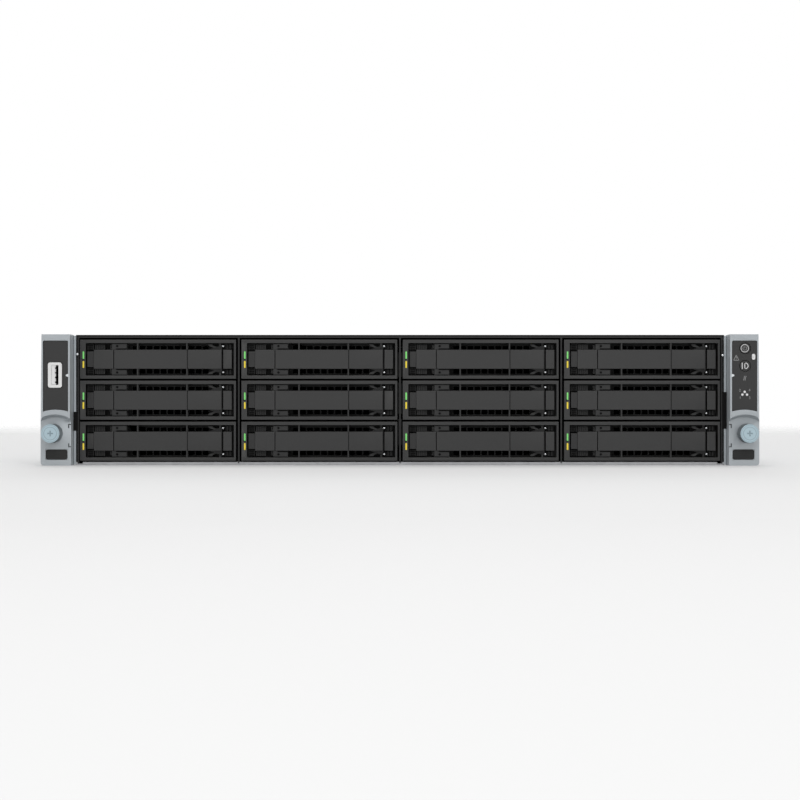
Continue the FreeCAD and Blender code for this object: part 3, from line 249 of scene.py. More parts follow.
# %% Streaks of rolled or turned metal
streaks, given, result, where = effect("metal_streaks", {**SURFACE, "Stretch": (1.0, 40.0, 40.0)})
drawn_out = step(streaks, "ShaderNodeVectorMath", {0: where["Object"], 1: given["Stretch"]},
                 operation="MULTIPLY")
line = noise(streaks, drawn_out.outputs[0], given["Scale"], Detail=4.0).outputs["Fac"]
close_effect(streaks, given, result, line, line)

# %% Crystals of zinc-coated steel
spangle, given, result, where = effect("zinc_spangle", SURFACE)
warp = noise(spangle, where["Object"], 140.0)
warped = step(spangle, "ShaderNodeVectorMath",
              {0: warp.outputs["Color"], 1: (0.004, 0.004, 0.004), 2: where["Object"]},
              operation="MULTIPLY_ADD")
crystals = step(spangle, "ShaderNodeTexVoronoi", {
    "Vector": warped.outputs[0], "Scale": given["Scale"], "Randomness": 1.0}).outputs
tone = step(spangle, "ShaderNodeSeparateColor", {0: crystals["Color"]}).outputs
close_effect(spangle, given, result, tone[0], crystals["Distance"], rough_pattern=tone[1])

# %% Copper tracks under the varnish of a board
tracks, given, result, where = effect("board_tracks", SURFACE)
cells = step(tracks, "ShaderNodeTexVoronoi", {"Vector": where["Object"], "Scale": given["Scale"]},
             distance="MANHATTAN", feature="F1")
patches = noise(tracks, where["Object"], 60.0).outputs["Fac"]
bands = step(tracks, "ShaderNodeTexWave", {"Vector": where["Object"], "Scale": 260.0,
                                           "Distortion": 0.0}).outputs["Fac"]
copper = calculate(tracks, "MULTIPLY", bands, calculate(tracks, "GREATER_THAN", patches, 0.52))
pads = calculate(tracks, "LESS_THAN", cells.outputs["Distance"], 0.16)
raised = calculate(tracks, "MAXIMUM", copper, pads)
close_effect(tracks, given, result, raised, raised)

# %% Dust on upward faces
dust, given, result, where = effect("settled_dust", {
    "Colour": GREY, "Roughness": 0.5, "Amount": 0.1}, outputs=("Colour", "Roughness"))
facing = step(dust, "ShaderNodeSeparateXYZ", {0: where["Normal"]})
cloud = noise(dust, where["Object"], 35.0, Detail=6.0).outputs["Fac"]
upward = calculate(dust, "MAXIMUM", facing.outputs["Z"], 0.0)
share = calculate(dust, "MULTIPLY", calculate(dust, "MULTIPLY", upward, cloud), given["Amount"])
dusted = step(dust, "ShaderNodeMix", {0: share, 6: given["Colour"], 7: (0.42, 0.40, 0.37, 1)},
              data_type="RGBA")
dust.links.new(dusted.outputs[2], result["Colour"])
dust.links.new(calculate(dust, "ADD", given["Roughness"],
                         calculate(dust, "MULTIPLY", share, 0.4)), result["Roughness"])
print(dust.name, len(dust.nodes), "nodes")

# %% [markdown]
# ## Finishes
# A finish is one material: an effect group with this finish's values, then the dust, then the
# Principled shader, and the effect's height through a Bump node into its normal. Colours are
# written as they are seen on a screen and turned into light values here.


# %% Helper that makes a finish
def light_value(shown_value):
    share = shown_value / 255
    return share / 12.92 if share <= 0.04045 else ((share + 0.055) / 1.055) ** 2.4


def colour(red, green=None, blue=None):
    green, blue = (red, red) if green is None else (green, blue)
    return (light_value(red), light_value(green), light_value(blue), 1)


finishes = {}


def finish(name, shown, roughness, skin, scale, contrast=0.1, spread=0.08, relief=0.02, metal=0.0,
           dusty=0.15, coat=0.0, stretch=None, sheen_level=0.5):
    material = bpy.data.materials.new(name)
    material.use_nodes = True
    tree = material.node_tree
    values = {"Colour": colour(*shown), "Scale": scale, "Contrast": contrast,
              "Roughness": roughness, "Spread": spread}
    if stretch:
        values["Stretch"] = stretch
    surface = step(tree, "ShaderNodeGroup", values, node_tree=skin).outputs
    top = step(tree, "ShaderNodeGroup", {"Amount": dusty, "Colour": surface["Colour"],
                                         "Roughness": surface["Roughness"]},
               node_tree=dust).outputs
    bump = step(tree, "ShaderNodeBump", {"Strength": 0.6, "Distance": relief * MM,
                                         "Height": surface["Height"]})
    shader = tree.nodes["Principled BSDF"].inputs
    for label, source in (("Base Color", top["Colour"]), ("Roughness", top["Roughness"]),
                          ("Normal", bump.outputs["Normal"])):
        tree.links.new(source, shader[label])
    for label, value in (("Metallic", metal), ("Coat Weight", coat),
                         ("Specular IOR Level", sheen_level)):
        shader[label].default_value = value
    finishes[name] = material
    return material


# %% Finishes of the front
finish("carrier_plastic", (59,), 0.6, grain, 2600, contrast=0.07, relief=0.03, sheen_level=0.3)
# A lighter copy of the carrier plastic for the rounded edges: a painted highlight.
finish("carrier_edge", (80,), 0.5, grain, 2600, contrast=0.1, relief=0.02, sheen_level=0.3)
# A darker copy of the carrier plastic for the walls and floor of the sunk well: painted shade.
finish("carrier_well", (33,), 0.65, grain, 1800, contrast=0.2, sheen_level=0.2)
finish("carrier_shadow", (9,), 0.8, grain, 1500, contrast=0.3, sheen_level=0.1)
finish("carrier_rib", (50,), 0.6, grain, 2200, contrast=0.15, sheen_level=0.3)
finish("cage_black", (7,), 0.65, grain, 1500, contrast=0.15, relief=0.02, dusty=0.03,
       sheen_level=0.15)
# A lighter grey for the cage's front sheet edges: partly raw edge, partly a painted highlight.
finish("cage_edge", (38,), 0.5, grain, 1800, contrast=0.15, sheen_level=0.3)
finish("ear_silver", (177, 183, 187), 0.42, grain, 3200, contrast=0.06, metal=0.25, dusty=0.05)
# A lighter copy of the ear's silver paint for its rounded edges: a painted highlight.
finish("ear_edge", (222, 226, 229), 0.32, grain, 3200, contrast=0.05, metal=0.25, dusty=0.0)
finish("ear_slit", (58, 62, 65), 0.6, grain, 1500, contrast=0.2)
finish("panel_grey", (54,), 0.6, grain, 2800, contrast=0.1, relief=0.03, sheen_level=0.3)
finish("pad_rubber", (48,), 0.8, grain, 1900, contrast=0.15, relief=0.05, sheen_level=0.3)
finish("knob_face", (176, 197, 206), 0.34, streaks, 900, contrast=0.08, metal=0.3,
       stretch=(1.0, 1.0, 14.0))
finish("knob_grip", (118, 126, 130), 0.4, streaks, 700, contrast=0.15, metal=0.6,
       stretch=(12.0, 1.0, 12.0))
# A darker copy of the knob's metal for the cross's recess and the fine rings: painted shade.
finish("knob_mark", (138, 156, 165), 0.5, grain, 2000, contrast=0.1, metal=0.2)
finish("bright_pin", (214, 216, 218), 0.25, streaks, 1500, contrast=0.12, metal=0.9,
       stretch=(1.0, 1.0, 8.0))
finish("port_white", (236, 236, 236), 0.35, grain, 2500, contrast=0.03, dusty=0.03)
finish("print_white", (214,), 0.5, grain, 4000, contrast=0.06, dusty=0.0)
finish("print_grey", (150,), 0.55, grain, 4000, contrast=0.1, dusty=0.0)
finish("black_plastic", (14,), 0.6, grain, 2400, contrast=0.2, relief=0.03, sheen_level=0.2)
finish("contact_gold", (212, 176, 96), 0.28, streaks, 1600, contrast=0.1, metal=0.95,
       stretch=(1.0, 8.0, 8.0))
print(len(finishes), "finishes for the front")

# %% Finishes of the metalwork and the inside
finish("coated_steel", (40, 41, 43), 0.5, grain, 1500, contrast=0.08, spread=0.04, relief=0.04,
       dusty=0.05, sheen_level=0.35)
finish("zinc_steel", (168, 172, 175), 0.38, spangle, 170, contrast=0.09, spread=0.1, relief=0.01,
       metal=0.85, dusty=0.1)
# A paler, less metallic copy of the zinc steel for the tray's front lip: a painted highlight.
finish("lip_steel", (172, 173, 175), 0.4, spangle, 240, contrast=0.07, relief=0.01, metal=0.45)
finish("supply_steel", (150, 154, 158), 0.36, streaks, 500, contrast=0.1, metal=0.85,
       stretch=(1.0, 1.0, 18.0))
finish("sink_aluminium", (196, 199, 202), 0.34, streaks, 800, contrast=0.1, metal=0.9,
       stretch=(1.0, 14.0, 14.0))
finish("drive_casting", (96, 99, 103), 0.5, grain, 1200, contrast=0.22, metal=0.7, relief=0.06)
finish("drive_lid", (146, 149, 153), 0.42, streaks, 700, contrast=0.1, metal=0.9,
       stretch=(1.0, 16.0, 16.0))
finish("board_green", (28, 74, 47), 0.38, tracks, 420, contrast=0.28, relief=0.02, coat=0.3)
finish("chip_black", (26, 27, 28), 0.55, grain, 3000, contrast=0.2, relief=0.02)
finish("socket_ivory", (206, 199, 178), 0.5, grain, 2600, contrast=0.08)
finish("duct_black", (33, 34, 36), 0.6, grain, 1600, contrast=0.18, relief=0.05, dusty=0.3)
finish("fan_black", (20, 20, 22), 0.48, grain, 1800, contrast=0.2, relief=0.03, dusty=0.3)
finish("latch_blue", (52, 96, 150), 0.45, grain, 2600, contrast=0.1, relief=0.03)
finish("solder_tin", (178, 180, 184), 0.35, spangle, 900, contrast=0.12, metal=0.85)
finish("jack_metal", (188, 190, 192), 0.28, streaks, 1200, contrast=0.1, metal=0.9,
       stretch=(1.0, 1.0, 12.0))
print(len(finishes), "finishes in all")


# %% Lit lamps
def lamp_finish(name, shown, strength):
    material = finish(name, shown, 0.3, grain, 3000, contrast=0.1, dusty=0.0)
    tree = material.node_tree
    cloud = noise(tree, step(tree, "ShaderNodeTexCoord").outputs["Object"], 600.0)
    ramp = step(tree, "ShaderNodeValToRGB", {"Fac": cloud.outputs["Fac"]})
    dim, bright = ramp.color_ramp.elements
    dim.color = colour(*(0.75 * v for v in shown))
    bright.color = colour(*(min(255, 1.12 * v) for v in shown))
    shader = tree.nodes["Principled BSDF"].inputs
    tree.links.new(ramp.outputs["Color"], shader["Emission Color"])
    shader["Emission Strength"].default_value = strength


lamp_finish("lamp_green", (112, 196, 104), 0.45)
lamp_finish("lamp_yellow", (214, 192, 52), 0.45)
print("lamps", [name for name in finishes if name.startswith("lamp")])

# %% [markdown]
# ## Dressing a construction piece
# The construction model's own meshes are loose triangles with knife-sharp edges. Real sheet metal
# and mouldings have small rounds that catch the light, which is most of what makes a dark front
# readable. A copy of each piece is welded and its flat faces joined, each face takes a finish by
# where it lies, and a Bevel modifier rounds its edges. Where wanted, the rounds take a lighter copy
# of the finish, a painted highlight on the edges.


# %% Helpers for pieces
def place_piece(name, mesh, materials, place):
    """place is the node whose body a piece shares, or a (body, slot) pair; the slot is not used."""
    if isinstance(place, str):
        place = body_of[place], nodes[place].data.materials[0].name
    body, slot = place
    for label in materials:
        mesh.materials.append(finishes[label])
    piece = bpy.data.objects.new(name, mesh)
    bpy.context.scene.collection.objects.link(piece)
    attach(piece, body)
    return piece


def soften(piece, width, material=-1):
    """Rounds every edge sharper than 30 degrees by a width in mm."""
    rounding = piece.modifiers.new("soft_edges", "BEVEL")
    rounding.width = width * MM
    rounding.segments = 2
    rounding.limit_method = "ANGLE"
    rounding.angle_limit = math.radians(30)
    rounding.harden_normals = True
    rounding.material = material
    piece.data.set_sharp_from_angle(angle=math.radians(35))


def corner_lines(shape, along, radius, wanted):
    """Rounds the edges that run along one axis and whose middle, in mm, is wanted."""
    chosen = []
    for edge in shape.edges:
        run = edge.verts[0].co - edge.verts[1].co
        others = [abs(run[i]) for i in range(3) if i != along]
        if max(others) < 1e-6 < abs(run[along]) and len(edge.link_faces) == 2:
            middle = (edge.verts[0].co + edge.verts[1].co) / 2 / MM
            if wanted(middle):
                chosen.append(edge)
    if chosen:
        bmesh.ops.bevel(shape, geom=chosen, offset=radius * MM, segments=5, profile=0.5,
                        affect="EDGES", clamp_overlap=True)


def dress(node, materials, choose, edge=0.2, highlight=None, reshape=None):
    """A finished copy of a node. choose(middle, normal) gives the place of a face's finish in
    materials, with the middle in mm, and highlight is the place of a lighter finish painted on the
    rounded edges as a highlight."""
    shape = bmesh.new()
    shape.from_mesh(nodes[node].data)
    bmesh.ops.remove_doubles(shape, verts=shape.verts, dist=1e-6)
    bmesh.ops.dissolve_limit(shape, angle_limit=math.radians(0.4), verts=shape.verts,
                             edges=shape.edges)
    if reshape:
        reshape(shape)
    shape.normal_update()
    for face in shape.faces:
        face.smooth = True
        face.material_index = choose(face.calc_center_median() / MM, face.normal)
    mesh = bpy.data.meshes.new(node + "_finished")
    shape.to_mesh(mesh)
    shape.free()
    piece = place_piece(node + "_finished", mesh, materials, node)
    soften(piece, edge, -1 if highlight is None else highlight)
    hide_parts(node)
    return piece


print("pieces rest at the origin, with their place in the mesh")

# %% [markdown]
# Small new parts are drawn as boxes, rods, flat outlines and lathe-turned profiles that are
# gathered in one mesh per body. Gathering them keeps the list of objects short, and a helper for
# each kind of shape keeps each part to a line.


# %% Helpers for new shapes
def cuboid(shape, x, y, z, material=0):
    corners = [shape.verts.new((px * MM, py * MM, pz * MM)) for px in x for py in y for pz in z]
    for order in ((0, 1, 3, 2), (4, 6, 7, 5), (0, 4, 5, 1), (2, 3, 7, 6), (0, 2, 6, 4),
                  (1, 5, 7, 3)):
        shape.faces.new([corners[i] for i in order]).material_index = material


def prism(shape, outline, y, material=0):
    """A flat outline of (x, z) points in mm, with thickness between two y values."""
    near = [shape.verts.new((px * MM, y[0] * MM, pz * MM)) for px, pz in outline]
    far = [shape.verts.new((px * MM, y[1] * MM, pz * MM)) for px, pz in outline]
    faces = [shape.faces.new(near), shape.faces.new(far[::-1])]
    for i in range(len(outline)):
        j = (i + 1) % len(outline)
        faces.append(shape.faces.new((near[i], far[i], far[j], near[j])))
    for face in faces:
        face.material_index = material


def circle(x, z, radius, count=24, start=0.0, sweep=2 * math.pi):
    return [(x + radius * math.cos(start + sweep * i / count),
             z + radius * math.sin(start + sweep * i / count)) for i in range(count)]


def ring(shape, x, z, radius, width, y, material=0, count=36, start=0.0, sweep=2 * math.pi):
    """A flat ring, or an arc of one, of a given width, drawn in short pieces."""
    for i in range(count):
        first, second = (start + sweep * i / count, start + sweep * (i + 1) / count)
        outline = [(x + r * math.cos(a), z + r * math.sin(a))
                   for r, a in ((radius + width / 2, first), (radius + width / 2, second),
                                (radius - width / 2, second), (radius - width / 2, first))]
        prism(shape, outline, y, material)


def rounded(x, z, radius, count=5):
    """The outline of a rectangle with round corners, from its x and z ranges in mm."""
    points = []
    for px, pz, start in ((x[1], z[1], 0), (x[0], z[1], 1), (x[0], z[0], 2), (x[1], z[0], 3)):
        middle = (px - radius if px == x[1] else px + radius,
                  pz - radius if pz == z[1] else pz + radius)
        for i in range(count + 1):
            angle = math.pi / 2 * (start + i / count)
            points.append((middle[0] + radius * math.cos(angle),
                           middle[1] + radius * math.sin(angle)))
    return points


def turned(shape, centre, profile, axis="Y", count=24, material=0):
    """A closed lathe shape round an axis through centre. profile is (radius, along) in mm, from
    one end of the axis to the other, and its ends are closed."""
    rings = []
    for radius, along in profile:
        loop = []
        for i in range(count):
            angle = 2 * math.pi * i / count
            across = (radius * math.cos(angle), radius * math.sin(angle))
            spot = {"X": (along, across[0], across[1]), "Y": (across[0], along, across[1]),
                    "Z": (across[0], across[1], along)}[axis]
            loop.append(shape.verts.new([(c + s) * MM for c, s in zip(centre, spot)]))
        rings.append(loop)
    faces = [shape.faces.new(rings[0]), shape.faces.new(rings[-1])]
    for first, second in zip(rings, rings[1:]):
        for i in range(count):
            wall = shape.faces.new((first[i], first[(i + 1) % count], second[(i + 1) % count],
                                    second[i]))
            wall.smooth = True
            faces.append(wall)
    for face in faces:
        face.material_index = material


def drawn_mesh(shape, name):
    """A drawn shape as a plain mesh, with its faces pointing outwards."""
    bmesh.ops.recalc_face_normals(shape, faces=shape.faces)
    mesh = bpy.data.meshes.new(name)
    shape.to_mesh(mesh)
    shape.free()
    return mesh


def gathered(shape, name, materials, place, edge=None):
    piece = place_piece(name, drawn_mesh(shape, name), materials, place)
    if edge:
        soften(piece, edge)
    return piece


def corners_of(node):
    return [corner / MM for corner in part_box(node)]


print("shape helpers ready")

# %% [markdown]
# ## Drive carriers
# Each carrier is a plastic front bezel in front of two long rails that hold a drive. The bezel is
# a shallow tray: a flat rim outside, a sunk floor with vents, and the release button and the lever
# across it. Only the rim faces forward in the light, so it takes the pale plastic, and the walls
# and floor of the tray take darker copies of it, painted shade of the well.

# %% Bezels, rails and drives
CARRIER = ["carrier_plastic", "carrier_well", "carrier_shadow", "drive_casting", "drive_lid",
           "bright_pin", "carrier_rib", "carrier_edge"]
PLASTIC, WELL_SHADE, SHADOW, CASTING, LID, PIN, RIB, EDGE_HIGHLIGHT = range(len(CARRIER))
HALF_HEIGHT = 13.15           # of a carrier
HALF_HANDLE = 6.6             # of the lever and the release button, with a little room
WELL = 7.0                    # depth of the sunk floor
BEZEL = 8.2                   # thickness of the whole bezel
DRIVE_START = 26.0
for bay in BAYS:
    corner = corners_of(f"drive_carrier_{bay}")[0]

    def carrier_finish(middle, normal, corner=corner):
        x, y, z = middle - corner
        drive_front = y < DRIVE_START + 1
        if y > DRIVE_START and 1.7 < x < 103.5 and (abs(normal.z) > 0.9 or y > 170 or drive_front):
            return SHADOW if drive_front else LID if normal.z > 0.9 and y > 60 else CASTING
        if y < 0.6:
            return PLASTIC
        if y < 4.5 and 93.3 < x < 95.4 and abs(normal.x) + abs(normal.z) > 0.5:
            return PIN if x > 93.5 and (z < 4.8 or z > 21.6) else WELL_SHADE
        if normal.y < -0.9 and abs(z - HALF_HEIGHT) < HALF_HANDLE and y < 6 \
                and (x < 14 or x > 95.5):
            return PLASTIC if x > 95.5 else RIB
        # Faces deeper than the rim take the darker well copy as painted shade; carrier_shadow is a
        # painted shadow.
        if y < BEZEL:
            return RIB if 33 < x < 88 and y < 1.0 else WELL_SHADE
        return SHADOW if y < 14 else RIB

    # The rounded edges take the lighter copy of the plastic as a painted highlight.
    dress(f"drive_carrier_{bay}", CARRIER, carrier_finish, edge=0.18, highlight=EDGE_HIGHLIGHT)
print(len(BAYS), "carriers")

# %% [markdown]
# The button and the lever are the parts that a hand touches: smooth plates with a fine grain. The
# lever's groove and its turned-back sides are in shade, painted with the darker well copy.

# %% Buttons and levers
HANDLE = ["carrier_plastic", "carrier_well", "carrier_edge"]
for bay in BAYS:
    for kind in ("carrier_button", "carrier_lever"):
        node = f"{kind}_{bay}"
        face_end = corners_of(node)[0].y + 0.2

        def handle_finish(middle, normal, face_end=face_end):
            # Faces other than the front take the darker well copy as painted shade.
            return 0 if middle.y < face_end and normal.y < -0.9 else 1

        # The handles' rounded edges take the same painted highlight.
        dress(node, HANDLE, handle_finish, edge=0.16, highlight=2)
print(2 * len(BAYS), "handles")

# %% [markdown]
# ### Lamps, springs and ribs
# Two light pipes stand in the rim of each carrier, green for activity and amber for a fault. Beside
# the release button stand its return springs, the vents have ribs and gussets around them, and the
# drive behind has a disc and screws. All of them repeat twelve times, so they are drawn once from a
# carrier's corner and moved by the distance between carriers.

# %% Trim of one carrier
home = corners_of("drive_carrier_1")[0]


def lamp_bars(shape, corner):
    x, y, z = corner
    for foot, head, material in ((13.4, 18.4, 0), (7.3, 11.9, 1)):
        prism(shape, rounded((x + 1.75, x + 2.8), (z + foot, z + head), 0.35, 3),
              (y - 0.12, y + 1.0), material)


def trim_parts(shape, corner):
    """Rows mirrored about the middle of the carrier: below (-1) and above (1) the handle."""
    x, y, z = corner
    for side in (-1, 1):
        def up(height, side=side):
            return z + HALF_HEIGHT + side * height

        def block(left, right, near, back, lower, upper, material):
            cuboid(shape, (x + left, x + right), (y + near, y + back),
                   sorted((up(lower), up(upper))), material)

        # Blocks and slats in the darker well copy and in carrier_shadow are painted shade in the
        # pockets, and a painted shadow under the tab.
        block(4.6, 9.0, 2.4, WELL, 6.2, 10.2, 1)
        for row in range(3):
            block(5.2, 8.4, 2.1, 2.4, 6.6 + 1.25 * row, 7.3 + 1.25 * row, 2)
        block(9.6, 16.2, 3.0, WELL, 6.6, 10.0, 3)
        for slat in range(4):
            block(10.2 + 1.5 * slat, 10.9 + 1.5 * slat, 2.7, 3.0, 6.8, 9.8, 1)
        block(21.4, 31.2, 1.2, 3.2, 6.5, 10.4, 0)
        block(24.3, 31.2, 0.9, 1.2, 6.5, 7.3, 2)
        turned(shape, (x + 24.9, 0, up(8.9)), [(0.75, y + 0.9), (0.75, y + 1.25)], count=10,
               material=2)
        for rib in (38.8, 72.1):
            block(rib - 0.45, rib + 0.45, 0.35, 6.0, 6.4, 11.0, 3)
        block(97.0, 102.4, 4.6, WELL, 7.2, 10.3, 1)
        for rib in (98.6, 100.6):
            block(rib, rib + 0.8, 3.8, 4.6, 7.0, 10.0, 3)
        turned(shape, (x + 96.35, 0, up(8.85)), [(0.2, y + 1.5), (0.75, y + 1.75), (0.85, y + 2.2),
                                                 (0.85, y + 5.0)], count=12, material=4)
    for side in (-1, 1):
        spring_coil(shape, corner, side)


def lever_parts(shape, corner):
    """Gussets behind the lever's wings and the pointed ears beside its pin."""
    x, y, z = corner
    gusset = [(86.0, 10.1), (87.0, 8.9), (93.2, 6.7), (93.2, 7.8), (89.5, 9.3), (89.0, 10.1)]
    ear = [(93.4, 6.6), (94.7, 6.6), (94.05, 7.7)]
    for side in (-1, 1):
        for points, near, back, material in ((gusset, 2.0, 5.5, 0), (ear, 0.9, 1.5, 1)):
            prism(shape, [(x + across, z + HALF_HEIGHT + side * up) for across, up in points],
                  (y + near, y + back), material)


def drive_parts(shape, corner, top):
    """What marks a bare drive: a raised disc over its spindle and the screws of its cover."""
    x, y = corner.xy

    def disc(across, along, steps, count, material=0):
        turned(shape, (x + across, y + along, 0), [(radius, top + up) for radius, up in steps],
               axis="Z", count=count, material=material)

    disc(52.5, 118.0, [(31.0, -0.3), (31.0, 0.1), (30.0, 0.2)], 56)
    disc(52.5, 118.0, [(9.0, 0.1), (9.0, 0.26), (8.0, 0.3)], 32, 1)
    for along in (36, 96, 164):
        for across in (8.5, 96.5):
            disc(across, along, [(2.3, -0.3), (2.3, 0.15), (2.0, 0.25)], 20, 1)
            # A flat dark hexagon on each screw head is painted shade of its socket.
            disc(across, along, [(0.9, 0.2), (0.9, 0.28)], 6, 2)


def spring_coil(shape, corner, side, turns=5, radius=0.85, wire=0.17):
    """A return spring that stands along Z beside the release button."""
    x, y, z = corner
    centre = Vector((x + 20.6, y + 3.4, z + HALF_HEIGHT + side * 8.2))
    steps, around = turns * 8, 5
    previous = None
    for i in range(steps + 1):
        angle = 2 * math.pi * i / 8
        spot = centre + Vector((radius * math.cos(angle), radius * math.sin(angle),
                                (i / steps - 0.5) * 3.2))
        out = Vector((math.cos(angle), math.sin(angle), 0))
        turns_of_wire = (2 * math.pi * k / around for k in range(around))
        loop = [shape.verts.new((spot + wire * (out * math.cos(turn)
                                                + Vector((0, 0, 1)) * math.sin(turn))) * MM)
                for turn in turns_of_wire]
        if previous:
            for k in range(around):
                after = (k + 1) % around
                wall = shape.faces.new((previous[k], previous[after], loop[after], loop[k]))
                wall.smooth = True
                wall.material_index = 5
        else:
            shape.faces.new(loop).material_index = 5
        previous = loop
    shape.faces.new(previous[::-1]).material_index = 5


# The spring's wire takes the last finish here, the lighter grey of the painted edge highlights.
TRIM = ["carrier_rib", "carrier_well", "carrier_shadow", "carrier_rib", "bright_pin",
        "carrier_edge"]
def drawn_once(name, draw, *given):
    shape = bmesh.new()
    draw(shape, home, *given)
    return drawn_mesh(shape, name)


inner = [spot.co / MM for spot in nodes["drive_carrier_1"].data.vertices]
drive_top = max(spot.z for spot in inner
                if abs((spot - home).x - 52.5) < 51 and (spot - home).y > 40)
trim_mesh = drawn_once("carrier_trim", trim_parts)
SETS = [("carrier_trim", trim_mesh, TRIM, None, "drive_carrier"),
        ("lever_trim", drawn_once("lever_trim", lever_parts), ["carrier_rib", "bright_pin"], None,
         "carrier_lever"),
        ("drive_trim", drawn_once("drive_trim", drive_parts, drive_top),
         ["drive_lid", "drive_casting", "cage_black"], None, "drive_carrier"),
        ("carrier_lamps", drawn_once("carrier_lamps", lamp_bars), ["lamp_green", "lamp_yellow"],
         0.1, "drive_carrier")]
for bay in BAYS:
    shift = (corners_of(f"drive_carrier_{bay}")[0] - home) * MM
    for label, source, materials, rounding, node in SETS:
        moved = source.copy()
        moved.transform(Matrix.Translation(shift))
        piece = place_piece(f"{label}_{bay}", moved, materials, f"{node}_{bay}")
        if rounding:
            soften(piece, rounding)
print("trim of", len(trim_mesh.polygons), "faces, twelve times")

# %% [markdown]
# ## Drive cage
# The cage is a welded box of thin black steel with a shelf under each carrier. Only the front
# edges of its sheet are lighter: partly the raw sheet edge, partly a painted highlight.

# %% Cage
cage_front = corners_of("drive_cage")[0].y


def cage_finish(middle, normal):
    if normal.z > 0.9 and middle.z > high.z - 0.5:
        return 2
    # The front edges of the sheet take the lighter grey, partly raw edge and partly a painted
    # highlight.
    if normal.y < -0.9 and middle.y < cage_front + 0.5:
        return 1 if middle.z < high.z - 1.5 else 0
    return 0


dress("drive_cage", ["cage_black", "cage_edge", "coated_steel"], cage_finish, edge=0.15)
print("cage front at", round(cage_front, 1))

# %% [markdown]
# ## Ears
# Each ear is a steel bracket behind a silver housing. The housing is a metallic paint over a
# moulding whose corners are generously round, so the outer corners are rounded first as solid
# geometry and the rest gets the same small edge as everything else. The dark inlay, the pad and
# the port have round corners of their own.

# %% Housings and brackets
ear_low, ear_high = corners_of("rack_ears")
HOUSING = ear_low.y + 3.9     # the housing stands in front of this, the lower plate behind it
BRACKET = -352.1              # front of the steel brackets
DRAWN_IN = 1.4                # how far the housing's outer side lies inside the ear's
INLAY_RISE = 0.6


def round_ear(shape):
    for spot in shape.verts:
        place = spot.co / MM
        if place.y < HOUSING and abs(place.x) > ear_high.x - 0.3:
            spot.co.x -= math.copysign(DRAWN_IN * MM, place.x)
        if abs(place.z - (high.z - 4.8)) < 0.1:
            spot.co.z += INLAY_RISE * MM
        if place.y < HOUSING and 27 < place.z < 34.5:
            spot.co.z += 2.0 * MM
    corner_lines(shape, 1, 2.0, lambda m: abs(m.x) > ear_high.x - 1.6 and m.y < ear_low.y + 14.5
                 and (m.z < 0.3 or m.z > high.z - 0.3))
    corner_lines(shape, 1, 1.0, lambda m: 221.5 < abs(m.x) < 239.8 and m.z > 81
                 and m.y < ear_low.y + 3)


# The housing's rounded edges take the lighter silver as a painted highlight.
dress("rack_ears", ["ear_silver", "ear_edge", "zinc_steel"],
      lambda m, n: 2 if m.y > BRACKET else 0, edge=0.45, highlight=1, reshape=round_ear)
print("ears from", round(ear_low.x, 1), "to", round(ear_high.x, 1))


# %% Inlays, pads and port
PAD_TOP = 12                  # the pads lie below this, the inlays above
PORT_X = -231


def round_panel(shape):
    for spot in shape.verts:
        if spot.co.z > (high.z - 5.2) * MM:
            spot.co.z += INLAY_RISE * MM
    corner_lines(shape, 1, 1.0, lambda m: m.z > 82)
    corner_lines(shape, 1, 0.8, lambda m: 35 < m.z < 38)
    corner_lines(shape, 1, 1.6, lambda m: m.z < PAD_TOP)


dress("ear_panels", ["panel_grey", "pad_rubber"], lambda m, n: 1 if m.z < PAD_TOP else 0,
      edge=0.15, reshape=round_panel)


def round_port(shape):
    corner_lines(shape, 1, 1.4, lambda m: abs(m.x - PORT_X) > 4.5)
    corner_lines(shape, 1, 0.7, lambda m: abs(m.x - PORT_X) < 4.5 and abs(m.z - 60.7) > 6.5)


port_face = corners_of("usb_port")[0].y
# The slot's inner faces, deeper than 1.2 mm, take black plastic as painted shade in the slot.
dress("usb_port", ["port_white", "black_plastic"],
      lambda m, n: 1 if m.y > port_face + 1.2 and abs(m.x - PORT_X) < 4.6 else 0,
      edge=0.25, reshape=round_port)
print("inlays, pads and port rounded")

# %% [markdown]
# A white tongue fills half of the port, with four notches beside the dark slot. A nib on
# the housing holds each inlay, the bracket has a notch where a cover hooks in, a spring tab is cut
# from the housing beside each knob, and a bright rivet sits in each gap.

# %% Small parts of the ears
EAR_PARTS = ["ear_edge", "cage_black", "ear_slit", "bright_pin", "port_white"]
PLATE, BRACKET_FACE = -362.2, -354.3      # the ears' lower plates, and their brackets' flanges
ears = bmesh.new()
cuboid(ears, (-233.6, -230.4), (port_face + 0.25, port_face + 1.2), (53.4, 68.0), 4)
